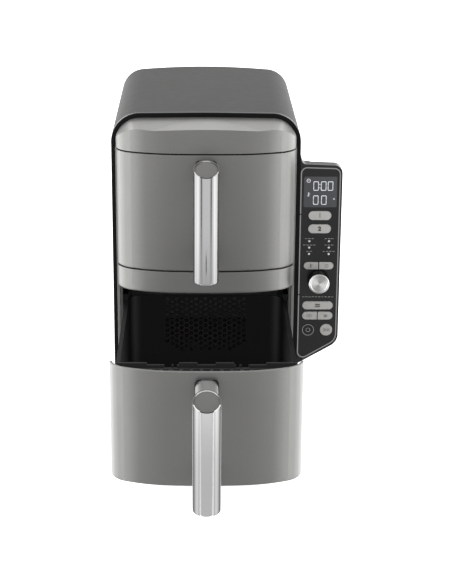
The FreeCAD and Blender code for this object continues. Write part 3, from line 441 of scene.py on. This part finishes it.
def drawn_steel(name, colour, roughness, axis_stretch=(1, 1, 0.004), painted_light=None, **sockets):
    """Drawn metal; the colours from a tube's middle to its sides, if given, replace its own: painted
    highlight and painted shade.
    """
    material, tree, shader = surface(name, colour, roughness, 1.0, **sockets)
    if painted_light:
        tree.links.new(sideways_ramp(tree, painted_light), shader.inputs["Base Color"])
    lines = noise(tree, DRAWN_LINE, object_place(tree, axis_stretch), 3.0).outputs[0]
    smears = noise(tree, 20 * MM, detail=3.0).outputs[0]
    worn = add_node(tree, "Math", {0: vary(tree, lines, -0.02, 0.03),
                                   1: vary(tree, smears, roughness - 0.02, roughness + 0.03)},
                    operation="ADD").outputs[0]
    tree.links.new(worn, shader.inputs["Roughness"])
    bump(tree, shader, lines, DRAWN_DEPTH)
    return material


PAINTED_FAN_TURN = 0.7             # turns the knob's painted bright sectors away from level
RING_PITCH = 0.25 * MM     # coarser than a lathe leaves them, so that they show
RING_DEPTH = 0.002 * MM


def turned_aluminium(name, colour, shade, roughness, axis):
    """Face turned on a lathe about the Y axis through axis, with a fan of painted highlight and painted
    shade in its colour, from the shade colour to the full one.
    """
    material, tree, shader = surface(name, colour, roughness, 1.0, Anisotropic=0.5)
    tangent = add_node(tree, "Tangent", direction_type="RADIAL", axis="Y")
    tree.links.new(tangent.outputs[0], shader.inputs["Tangent"])
    flat = object_place(tree, (1, 0, 1), axis)
    # Painted highlight and painted shade: the colour runs between the two in four sectors round the
    # axis.
    spot = add_node(tree, "SeparateXYZ", {0: flat}).outputs
    angle = add_node(tree, "Math", {0: spot[2], 1: spot[0]}, operation="ARCTAN2").outputs[0]
    doubled = add_node(tree, "Math", {0: angle, 1: 2.0, 2: PAINTED_FAN_TURN},
                       operation="MULTIPLY_ADD").outputs[0]
    fan = add_node(tree, "Math", {0: doubled}, operation="COSINE").outputs[0]
    share = add_node(tree, "MapRange", {0: fan, 1: -0.8, 2: 0.9}).outputs[0]
    tree.links.new(mix_colours(tree, share, shade, colour), shader.inputs["Base Color"])
    radius = add_node(tree, "VectorMath", {0: flat}, operation="LENGTH").outputs["Value"]
    rings = add_node(tree, "TexNoise", {"W": radius, "Scale": 1 / RING_PITCH, "Detail": 2.0},
                     noise_dimensions="1D").outputs[0]
    tree.links.new(vary(tree, rings, roughness - 0.05, roughness + 0.07), shader.inputs["Roughness"])
    bump(tree, shader, rings, RING_DEPTH)
    return material


knob_low, knob_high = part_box("dial_knob")
knob_middle = (knob_low + knob_high) / 2
UPPER_PAINTED_LIGHT = [           # how far sideways, colour with painted highlight and shade
    (0.227, "#dadada"), (0.303, "#cbcbcb"), (0.379, "#c5c5c5"), (0.455, "#717171"),
    (0.53, "#717171"), (0.606, "#878787"), (0.682, "#868686"), (0.758, "#7a7a7a"),
    (0.85, "#777777"), (0.95, "#6f6f6f")
]
# The lower tube's colours are painted highlight and shade; they end in painted shade at its grazing
# sides.
LOWER_PAINTED_LIGHT = [
    (0.4, "#ffffff"), (0.476, "#909090"), (0.545, "#797979"), (0.615, "#8f8f8f"), (0.7, "#8f8f8f"),
    (0.755, "#8a8a8a"), (0.825, "#797979"), (0.895, "#595959"), (0.965, "#303030")
]
tube_steels = {"upper": drawn_steel("upper_tube_steel_painted_light", "#dededc", 0.10, painted_light=UPPER_PAINTED_LIGHT),
               "lower": drawn_steel("lower_tube_steel_painted_light", "#f6f6f4", 0.13, painted_light=LOWER_PAINTED_LIGHT,
                                    Specular_Tint=linear("#cacac9"))}
soft_steel = drawn_steel("brushed_trim_steel", "#a8a8a6", 0.3)
sheet_steel = drawn_steel("rolled_sheet_steel", "#8f8f8d", 0.34, (1, 0.01, 1))
knob_metal = turned_aluminium("turned_aluminium", "#f6f6f4", "#b2b2b0", 0.28, tuple(knob_middle))
print("metals ready")


# %% [markdown]
# The cooking parts are steel with baked coatings: the basket and plate carry a matt non-stick
# coat with fine pale specks in it, the cavity a dark heat-proof enamel.  The fan is bare die-cast
# aluminium and the boards are green glass fibre.

# %% Coated metals and electrical parts
def speckled_coat(name, colour, speck, roughness, spacing, share, specular=0.5):
    """Baked coating with pale specks; share is how much of it they cover."""
    material, tree, shader = surface(name, colour, roughness, Specular_IOR_Level=specular)
    cells = add_node(tree, "TexVoronoi", {"Vector": object_place(tree), "Scale": 1 / spacing})
    dots = add_node(tree, "MapRange", {0: cells.outputs["Distance"], 1: share, 2: share + 0.05,
                                       3: 1.0, 4: 0.0}).outputs[0]
    tree.links.new(mix_colours(tree, dots, colour, speck), shader.inputs["Base Color"])
    bump(tree, shader, noise(tree, 1.5 * MM).outputs[0], 0.03 * MM)
    return material


nonstick = speckled_coat("nonstick_coat", "#070707", "#141414", 0.5, 2.2 * MM, 0.14, 0.1)
enamel = speckled_coat("grey_enamel", "#505050", "#5c5c5c", 0.42, 3 * MM, 0.1)
cast_aluminium = moulding("cast_aluminium", "#9a9a98", "#a5a5a2", 0.45, 1.2 * MM, 0.03 * MM, 1.0)
board_green = speckled_coat("solder_mask", "#1d4a2c", "#2c6a40", 0.35, 4 * MM, 0.12)
print("coats ready")


# %% [markdown]
# The panel's face is a printed gloss sheet.  Its window is smoked, so the dark display behind it
# reads as a slightly paler field, and the digits are small bright segments.  Prints are thin
# solid marks that lie on the surface they are printed on.

# %% Panel finishes
panel_gloss = moulding("printed_gloss_sheet", "#0d0d0e", "#101011", 0.24, 3 * MM, 0.006 * MM,
                       Specular_IOR_Level=0.42)
smoked = moulding("smoked_window", "#333437", "#38393c", 0.18, 4 * MM, 0.004 * MM)
print_dark = moulding("dark_print", "#1c1c1c", "#222222", 0.5, 0.8 * MM, 0.004 * MM)
print_faint = moulding("faint_print", "#4a4a49", "#525251", 0.5, 0.8 * MM, 0.004 * MM)
print_grey = moulding("grey_print", "#6c6c6b", "#747473", 0.5, 0.8 * MM, 0.004 * MM)
print_pale = moulding("pale_print", "#7c7c7b", "#858584", 0.5, 0.8 * MM, 0.004 * MM)


def lit(name, colour, strength):
    """Glowing segment or lamp; a fine noise keeps it from looking like flat paper."""
    material, tree, shader = surface(name, colour, 0.4, Emission_Strength=strength)
    glow_drift = noise(tree, 2 * MM).outputs[0]
    tree.links.new(mix_colours(tree, vary(tree, glow_drift, 0, 1), colour, "#ffffff"),
                   shader.inputs["Emission Color"])
    return material


digit_glow = lit("display_segment", "#b4b6bd", 0.28)
print("materials:", len(bpy.data.materials))


# %% [markdown]
# Every piece of the engineered model gets one of these finishes.  The list goes by finish, and
# the line printed after it shows whether a piece was missed.
#
# Most of the open lower drawer is left out of mirror reflections.  Its dark inside would print a
# black patch on the polished parts above it.

# %% Give each engineered piece its finish
FINISHES = [
    (shell_plastic, ["outer_shell"]),
    (front_paint, ["top_fascia", "mid_strip", "upper_drawer_front", "lower_drawer_front", "base_tray"]),
    (lip_plastic, ["inner_lip"]),
    (black_abs, ["front_bezel", "panel_housing"]),
    (inner_black, ["upper_drawer_bracket", "lower_drawer_bracket", "back_panel", "cord_gland",
                   "slide_rails", "interlock_switches", "dial_encoder"]),
    (post_plastic, ["upper_handle_posts", "lower_handle_posts"]),
    (tube_steels["upper"], ["upper_handle_tube"]),
    (tube_steels["lower"], ["lower_handle_tube"]),
    (cap_plastic, ["upper_handle_cap", "lower_handle_cap"]),
    (panel_gloss, ["panel_fascia", "button_power"]),
    (soft_steel, ["panel_trim", "upper_heater", "lower_heater", "temperature_sensors",
                  "upper_fan_shaft", "lower_fan_shaft", "housing_screws"]),
    (key_plastic, [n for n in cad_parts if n.startswith("button_") and n != "button_power"]),
    (knob_metal, ["dial_knob"]),
    (nonstick, ["upper_basket", "lower_basket", "upper_crisper_plate", "lower_crisper_plate"]),
    (enamel, ["upper_liner", "lower_liner", "upper_fan_guard", "lower_fan_guard"]),
    (sheet_steel, ["motor_plate", "upper_motor", "lower_motor"]),
    (cast_aluminium, ["upper_fan", "lower_fan"]),
    (rubber, ["upper_crisper_bumpers", "lower_crisper_bumpers", "feet"]),
    (board_green, ["power_board", "control_board"]),
    (smoked, ["display_window"]),
    (lamp_cover, ["mode_lights"]),
]
finished = set()
for finish, names in FINISHES:
    for name in names:
        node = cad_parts[name]
        node.data.materials.clear()
        node.data.materials.append(finish)
        finished.add(name)
print("pieces without a finish:", sorted(set(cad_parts) - finished))

NOT_MIRRORED = ["lower_basket", "lower_crisper_plate", "lower_crisper_bumpers", "lower_drawer_bracket",
                "lower_drawer_front", "lower_handle_posts"]
for name in NOT_MIRRORED:
    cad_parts[name].visible_glossy = False


# %% [markdown]
# Handle tube.  On the real handle a stainless tube is closed round below and cut off at a slope
# above, and a grey cap sits a little way down inside the cut.  A cylinder is the natural start:
# it is cut by a sloping plane, its top is inset by the wall's thickness and pushed down for the
# cap, and the bottom edge is rounded.  The rim is bare steel at the sides and grey like the cap
# behind.  Right in front it gets the black plastic as painted shade, where the cap shades it.

# %% Handle tubes
CAP_SLOPE = 0.487         # rise of the cut for each step back
RIM = 1.2 * MM
RIM_GREY = 0.3            # further forward than this, in radii, the rim is bare steel
RIM_PAINTED_SHADE = 0.82          # further forward than this the rim is painted black as the cap's shade
RECESS = 5.2 * MM
BOTTOM_ROUND = 2.5 * MM
TUBE_SIDES = 128
SPARE = 4 * MM            # the rod starts this much too long, so that the cut goes right through


def sloped_rod(radius, low, high_front, high_back, centre, sides):
    """Upright rod from low, cut off along a slope that rises from front to back."""
    depth = high_back - low + SPARE
    bpy.ops.object.select_all(action="DESELECT")
    bpy.ops.mesh.primitive_cylinder_add(vertices=sides, radius=radius, depth=depth,
                                        location=(centre[0], centre[1], low + depth / 2))
    piece = bpy.context.active_object
    bpy.ops.object.transform_apply(location=True)
    rise = (high_back - high_front) / (2 * radius)
    bpy.ops.object.mode_set(mode="EDIT")
    bpy.ops.mesh.select_all(action="SELECT")
    bpy.ops.mesh.bisect(plane_co=(centre[0], centre[1], (high_front + high_back) / 2),
                        plane_no=(0, -rise, 1), use_fill=True, clear_outer=True)
    return piece


def rim_material(face, centre_y, radius):
    """Material slot of a tube face: 0 steel, 1 grey, 2 black as painted shade."""
    forward = (centre_y - face.center.y) / radius
    if face.normal.z <= 0.5 or RIM_GREY < forward < RIM_PAINTED_SHADE:
        return 0
    return 1 if forward < RIM_GREY else 2


def handle_tube(level):
    """Tube of one drawer's handle, in place of the engineered one."""
    low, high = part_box(level + "_handle_tube")
    radius = (high.x - low.x) / 2
    centre = ((low.x + high.x) / 2, (low.y + high.y) / 2)
    front_z = high.z - 2 * radius * CAP_SLOPE
    tube = sloped_rod(radius, low.z, front_z, high.z, centre, TUBE_SIDES)
    select_faces(tube, lambda c, n: n.z > 0.5)
    bpy.ops.mesh.inset(thickness=RIM, depth=0)
    bpy.ops.mesh.extrude_region_move(TRANSFORM_OT_translate={"value": (0, 0, -RECESS)})
    select_faces(tube, lambda c, n: n.z < -0.5)
    bpy.ops.mesh.bevel(offset=BOTTOM_ROUND, segments=6, affect="EDGES")
    bpy.ops.object.mode_set(mode="OBJECT")
    steel = tube_steels[level]
    piece = settle(tube, level + "_handle_steel", level + "_drawer", steel, 28)
    # The black plastic on the rim's front is painted shade.
    for extra in (cap_plastic, black_abs):
        piece.data.materials.append(extra)
    for face in piece.data.polygons:
        face.material_index = rim_material(face, centre[1], radius)
    piece.visible_glossy = level == "upper"
    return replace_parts(piece, level + "_handle_tube")


for level in LEVELS:
    print("handle tube:", handle_tube(level).name)


# %% [markdown]
# Handle cap.  A matt grey disc with a softly rounded edge, seated just below the cut.  The same
# sloped rod makes it, cut again underneath, and a bevel all round softens it.

# %% Handle caps
CAP_PROUD = 0.4 * MM
CAP_THICK = 3.4 * MM
CAP_ROUND = 0.5 * MM
CAP_SIDES = 96


def handle_cap(level):
    """Cap of one drawer's handle, in place of the engineered one and slightly wider."""
    low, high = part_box(level + "_handle_cap")
    radius = (high.x - low.x) / 2 + CAP_PROUD
    centre = ((low.x + high.x) / 2, (low.y + high.y) / 2)
    front_z = high.z - 2 * radius * CAP_SLOPE
    cap = sloped_rod(radius, low.z, front_z, high.z, centre, CAP_SIDES)
    middle = high.z - radius * CAP_SLOPE - CAP_THICK
    bpy.ops.mesh.select_all(action="SELECT")
    bpy.ops.mesh.bisect(plane_co=(centre[0], centre[1], middle), plane_no=(0, -CAP_SLOPE, 1),
                        use_fill=True, clear_inner=True)
    select_faces(cap, lambda c, n: n.z > 0.5)
    bpy.ops.mesh.bevel(offset=CAP_ROUND, segments=3, affect="EDGES")
    bpy.ops.object.mode_set(mode="OBJECT")
    piece = settle(cap, level + "_handle_end", level + "_drawer", cap_plastic, 40)
    piece.visible_glossy = level == "upper"
    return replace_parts(piece, level + "_handle_cap")


for level in LEVELS:
    print("handle cap:", handle_cap(level).name)


# %% [markdown]
# Handle shadows.  A thin dark plate lies against the bowed front round each post and shows as a
# dark line round it: painted shadow where the post meets the front.  It is a plate with the post's
# outline, a little larger all round.

# %% Painted shadow round the handle posts
POST_HEIGHTS = (26 * MM, 22 * MM)
SHADOW_PLATE_PROUD = 0.7 * MM
SHADOW_PLATE_THICK = 1.1 * MM
SHADOW_PLATE_FORWARD = 0.1 * MM  # from the drawer front's foremost point to the dark plate's middle
SHADOW_PLATE_CORNER = 4.5 * MM


def handle_shadow_plate(level):
    """Both dark plates of one drawer's handle, painted shadow round its posts, as one piece."""
    low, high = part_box(level + "_handle_posts")
    front_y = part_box(level + "_drawer_front")[0].y
    spans = ((high.z - POST_HEIGHTS[0], high.z), (low.z, low.z + POST_HEIGHTS[1]))
    plates = []
    for bottom, top in spans:
        bpy.ops.object.select_all(action="DESELECT")
        middle = ((low.x + high.x) / 2, front_y - SHADOW_PLATE_FORWARD, (bottom + top) / 2)
        bpy.ops.mesh.primitive_cube_add(size=1, location=middle)
        plate = bpy.context.active_object
        plate.scale = (high.x - low.x + 2 * SHADOW_PLATE_PROUD, SHADOW_PLATE_THICK, top - bottom + 2 * SHADOW_PLATE_PROUD)
        bpy.ops.object.transform_apply(location=True, scale=True)
        bevel_through(plate, SHADOW_PLATE_THICK, SHADOW_PLATE_CORNER, 6)
        plates.append(plate)
    # The dark rubber here is painted shadow round the posts.
    return settle(joined(plates), level + "_handle_shadow_plate", level + "_drawer", rubber)


for level in LEVELS:
    print("handle gasket:", handle_shadow_plate(level).name)


# %% [markdown]
# Knob.  Turned aluminium, slightly wider at its foot, with a chamfered front edge and a shallow
# dish; its side is black.  It starts as a cylinder lying along Y.  Its front face is
# narrowed for the taper, bevelled for the chamfer, and inset and pushed back for the dish.

# %% Dial knob
KNOB_SIDES = 160
KNOB_CHAMFER = 0.9 * MM
KNOB_RIM = 1.3 * MM
KNOB_DISH = 0.4 * MM
KNOB_DEPTH = 16.0 * MM
KNOB_TAPER = 0.9 * MM      # how much smaller the front's radius is


def dial_knob():
    """Knob in place of the engineered one."""
    radius = (knob_high.x - knob_low.x) / 2
    middle_y = knob_low.y + KNOB_DEPTH / 2
    bpy.ops.object.select_all(action="DESELECT")
    bpy.ops.mesh.primitive_cylinder_add(vertices=KNOB_SIDES, radius=radius, depth=KNOB_DEPTH,
                                        location=(knob_middle.x, middle_y, knob_middle.z),
                                        rotation=(math.pi / 2, 0, 0))
    knob = bpy.context.active_object
    bpy.ops.object.transform_apply(location=True, rotation=True)
    select_faces(knob, lambda c, n: n.y < -0.5)
    narrow = 1 - KNOB_TAPER / radius
    front_centre = (knob_middle.x, knob_low.y, knob_middle.z)
    bpy.ops.transform.resize(value=(narrow, 1, narrow), center_override=front_centre)
    bpy.ops.mesh.bevel(offset=KNOB_CHAMFER, segments=3, affect="EDGES")
    select_faces(knob, lambda c, n: n.y < -0.99)
    bpy.ops.mesh.inset(thickness=KNOB_RIM, depth=0)
    bpy.ops.mesh.inset(thickness=KNOB_DISH, depth=-KNOB_DISH)
    bpy.ops.object.mode_set(mode="OBJECT")
    piece = settle(knob, "dial_turned_knob", "dial", knob_metal, 25)
    piece.data.materials.append(black_abs)
    for face in piece.data.polygons:
        face.material_index = 0 if face.normal.y < -0.3 else 1
    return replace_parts(piece, "dial_knob")


print("knob:", dial_knob().name)


# %% [markdown]
# Display digits.  Each digit is built from lit bars with pointed ends, the form that every
# seven-segment display shares.  Each bar is a stretched cube with bevelled ends.  A nought needs
# six of them, two dots make the colon, and all the bars are joined to one piece.

# %% Display digits
window_low, window_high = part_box("display_window")
FACE_Y = window_low.y - 0.02 * MM
SEGMENT_THICK = 0.06 * MM
POINTED = 0.42             # share of a segment's width that is cut off at each corner
DIGIT_HEIGHT = 11.6 * MM
DIGIT_WIDTH = 6.6 * MM
DIGIT_STROKE = 0.85 * MM


def bar(length, width, centre, upright):
    """Thin segment with pointed ends, lying against the window."""
    bpy.ops.object.select_all(action="DESELECT")
    bpy.ops.mesh.primitive_cube_add(size=1, location=(centre[0], FACE_Y - SEGMENT_THICK / 2, centre[1]))
    piece = bpy.context.active_object
    piece.scale = (width, SEGMENT_THICK, length) if upright else (length, SEGMENT_THICK, width)
    bpy.ops.object.transform_apply(location=True, scale=True)
    bevel_through(piece, SEGMENT_THICK, width * POINTED, 1)
    return piece


def nought(left, low):
    """The six lit bars of a nought with its lower left corner there."""
    width, height, stroke = DIGIT_WIDTH, DIGIT_HEIGHT, DIGIT_STROKE
    half = (height - stroke) / 2
    bars = []
    for x in (left + stroke / 2, left + width - stroke / 2):
        for z in (low + stroke / 2 + half / 2, low + height - stroke / 2 - half / 2):
            bars.append(bar(half - 0.35 * stroke, stroke, (x, z), True))
    for z in (low + stroke / 2, low + height - stroke / 2):
        bars.append(bar(width - 1.35 * stroke, stroke, (left + width / 2, z), False))
    return bars


TIME_ROW = window_low.z + 20.9 * MM
HEAT_ROW = window_low.z + 3.3 * MM
TIME_DIGITS = (11.4, 20.6, 28.9)     # left edges of the digits, in mm from the window's edge
HEAT_DIGITS = (11.4, 21.2)
COLON = window_low.x + 19.3 * MM
COLON_DOTS = (3.6, 7.8)              # in mm above the foot of the row
digit_bars = []
for row, lefts in ((TIME_ROW, TIME_DIGITS), (HEAT_ROW, HEAT_DIGITS)):
    for left in lefts:
        digit_bars += nought(window_low.x + left * MM, row)
for rise in COLON_DOTS:
    digit_bars.append(bar(1.2 * MM, 1.1 * MM, (COLON, TIME_ROW + rise * MM), True))
digits = settle(joined(digit_bars), "display_digits", "housing", digit_glow)
print("digits:", len(digits.data.polygons), "faces")


# %% [markdown]
# Printed marks.  The keys carry small pictures in place of words: a thermometer, a clock, two
# stacked drawers, two linked rings for starting together, an equals sign, power and play signs,
# and the numerals 1 and 2.  Each is put together from rings, bars and short arcs only a few
# hundredths of a millimetre thick, like ink on the key.

# %% Helpers for printed marks
INK = 0.05 * MM
RING_STEPS = 40


def ink_bar(x, z, width, height, y, turn=0.0):
    """Small printed bar with rounded corners."""
    bpy.ops.object.select_all(action="DESELECT")
    bpy.ops.mesh.primitive_cube_add(size=1)
    piece = bpy.context.active_object
    piece.scale = (width, INK, height)
    bpy.ops.object.transform_apply(scale=True)
    bevel_through(piece, INK, min(width, height) * 0.3, 2)
    piece.rotation_euler = (0, turn, 0)
    piece.location = (x, y - INK / 2, z)
    bpy.ops.object.transform_apply(location=True, rotation=True)
    return piece


def ink_ring(x, z, radius, stroke, y, start=0.0, end=360.0):
    """Printed ring, or an arc of one; 0 degrees is at the top and angles run clockwise.

    The stroke's cross-section is spun round Y.  Spin runs the other way round, so the piece is
    then turned until its first section stands at the arc's end.
    """
    sweep = math.radians(end - start)
    bpy.ops.object.select_all(action="DESELECT")
    bpy.ops.mesh.primitive_plane_add(size=1, rotation=(math.pi / 2, 0, 0))
    piece = bpy.context.active_object
    piece.scale = (INK, stroke, 1)
    bpy.ops.object.transform_apply(rotation=True, scale=True)
    for vertex in piece.data.vertices:
        vertex.co = (0, vertex.co.x, radius + vertex.co.z)
    bpy.ops.object.mode_set(mode="EDIT")
    bpy.ops.mesh.select_all(action="SELECT")
    bpy.ops.mesh.spin(steps=RING_STEPS, angle=sweep, center=(0, 0, 0), axis=(0, 1, 0))
    bpy.ops.mesh.select_all(action="SELECT")
    if end - start >= 360:
        bpy.ops.mesh.remove_doubles(threshold=0.00001)
    bpy.ops.mesh.normals_make_consistent(inside=False)
    bpy.ops.object.mode_set(mode="OBJECT")
    piece.rotation_euler = (0, math.radians(end), 0)
    piece.location = (x, y - INK / 2, z)
    bpy.ops.object.transform_apply(location=True, rotation=True)
    return piece


def numeral(text, x, z, size, y, weight=0.03):
    """Numeral as a thin mesh, centred on x and z; weight thickens its strokes."""
    bpy.ops.object.select_all(action="DESELECT")
    bpy.ops.object.text_add(rotation=(math.pi / 2, 0, 0))
    piece = bpy.context.active_object
    piece.data.body = text
    piece.data.size = size
    piece.data.extrude = INK / 2
    piece.data.offset = size * weight
    piece.data.align_x = "CENTER"
    piece.data.align_y = "CENTER"
    bpy.ops.object.convert(target="MESH")
    piece.location = (x, y - INK / 2, z)
    bpy.ops.object.transform_apply(location=True, rotation=True)
    return piece


def key_middle(name):
    """Middle of a key as x and z, and the y of its face."""
    low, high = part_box("button_" + name)
    return (low.x + high.x) / 2, (low.z + high.z) / 2, low.y


# %% Marks on the keys
STROKE = 0.55 * MM


def thermometer(x, z, y):
    """Stem, bulb and two ticks."""
    return [ink_bar(x, z + 0.9 * MM, 0.9 * MM, 3.4 * MM, y),
            ink_ring(x, z - 1.4 * MM, 0.75 * MM, STROKE, y),
            ink_bar(x + 1.5 * MM, z + 1.6 * MM, 1.1 * MM, 0.4 * MM, y),
            ink_bar(x + 1.5 * MM, z + 0.4 * MM, 1.1 * MM, 0.4 * MM, y)]


def clock(x, z, y):
    """Face and two hands."""
    return [ink_ring(x, z, 2.1 * MM, STROKE, y), ink_bar(x, z + 0.6 * MM, 0.45 * MM, 1.5 * MM, y),
            ink_bar(x + 0.5 * MM, z, 1.2 * MM, 0.45 * MM, y)]


def stacked(x, z, y):
    """Two drawers, one above the other."""
    return [ink_bar(x, z + dz * MM, 6.0 * MM, 1.5 * MM, y) for dz in (1.3, -1.3)]


def together(x, z, y):
    """Two linked rings."""
    return [ink_ring(x + dx * MM, z, 1.7 * MM, STROKE, y) for dx in (-1.3, 1.3)]


def equal(x, z, y):
    """Equals sign."""
    return [ink_bar(x, z + dz * MM, 4.2 * MM, 0.8 * MM, y) for dz in (-0.9, 0.9)]


def power_sign(x, z, y):
    """Ring open at the top, with a bar in the gap."""
    return [ink_ring(x, z, 2.5 * MM, 0.6 * MM, y, 35, 325),
            ink_bar(x, z + 2.2 * MM, 0.6 * MM, 2.4 * MM, y)]


def play_sign(x, z, y):
    """Outline of a play triangle, and two upright pause bars."""
    slope = math.radians(30)
    sides = [ink_bar(x - 1.2 * MM, z + dz * MM, 3.6 * MM, 0.7 * MM, y, turn)
             for dz, turn in ((1.05, slope), (-1.05, -slope))]
    spine = ink_bar(x - 2.7 * MM, z, 0.7 * MM, 3.9 * MM, y)
    rests = [ink_bar(x + dx * MM, z, 0.8 * MM, 3.6 * MM, y) for dx in (2.0, 3.6)]
    return [*sides, spine, *rests]


KEY_SIGNS = {"temperature": thermometer, "time": clock, "stack": stacked, "sync": together,
             "match": equal, "start_stop": play_sign, "power": power_sign}
for name, sign in KEY_SIGNS.items():
    ink = print_pale if name == "power" else print_faint
    settle(joined(sign(*key_middle(name))), "sign_" + name, "button_" + name + "_key", ink)

NUMERALS = [("1", "zone_1", post_plastic, 8.0 * MM, 0.03), ("2", "zone_2", print_dark, 7.4 * MM, 0.06)]
for text, name, ink, size, weight in NUMERALS:
    x, z, y = key_middle(name)
    mark = numeral(text, x, z, size, y, weight)
    settle(mark, "numeral_" + text, "button_" + name + "_key", ink)

POWER_RING = 7.1 * MM
x, z, y = key_middle("power")
ring = ink_ring(x, z, POWER_RING, 0.7 * MM, y)
settle(ring, "power_ring", "button_power_key", soft_steel)
print("key signs:", len(KEY_SIGNS) + len(NUMERALS))


# %% [markdown]
# Prints on the fascia.  Beside the display rows stand a clock and a thermometer, and over each
# mode light there is a row of short dashes where the mode's name would stand.  Two dark tabs lie
# across the trim's left edge.

# %% Marks on the fascia
fascia_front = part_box("panel_fascia")[0].y
lights_low, lights_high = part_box("mode_lights")
LIGHT_R = 1.3 * MM
LIGHT_PITCH = 8.2 * MM     # from one mode light down to the next
NAME_RISE = 3.3 * MM       # from a light up to the dashes of its name
DASH = (3.1 * MM, 0.9 * MM)
DASH_PITCH = 4.0 * MM


def dashes(x, z, count):
    """Row of short marks, centred on x."""
    start = x - DASH_PITCH * (count - 1) / 2
    return [ink_bar(start + DASH_PITCH * k, z, *DASH, fascia_front) for k in range(count)]


marks = []
for x, counts in ((lights_low.x + LIGHT_R, (3, 4, 2)), (lights_high.x - LIGHT_R, (3, 3, 4))):
    for row, count in enumerate(counts):
        marks += dashes(x, lights_high.z - LIGHT_R - LIGHT_PITCH * row + NAME_RISE, count)
LONG_ROW_RISE = 5.0 * MM   # from the stack key up to the long row under the knob
marks += dashes(knob_middle.x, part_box("button_stack")[1].z + LONG_ROW_RISE, 10)
settle(joined(marks), "mode_dashes", "housing", print_grey)

SIGNS_X = window_low.x + 5.6 * MM
DEGREE_AT = (window_high.x - 3.4 * MM, window_low.z + 10.5 * MM)
window_marks = clock(SIGNS_X, window_high.z - 5.0 * MM, FACE_Y)
window_marks += thermometer(SIGNS_X, window_low.z + 16.0 * MM, FACE_Y)
window_marks.append(ink_ring(*DEGREE_AT, 0.8 * MM, 0.4 * MM, FACE_Y))
settle(joined(window_marks), "window_signs", "housing", digit_glow)

TAB = (2.2 * MM, 1.3 * MM)
TAB_IN = 0.65 * MM         # from the trim's edge to a tab's middle
TAB_ROWS = (259.5 * MM, 156.2 * MM)
trim_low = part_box("panel_trim")[0]
tabs = [ink_bar(trim_low.x + TAB_IN, z, *TAB, trim_low.y) for z in TAB_ROWS]
settle(joined(tabs), "trim_gaps", "housing", panel_gloss)
print("fascia prints done")
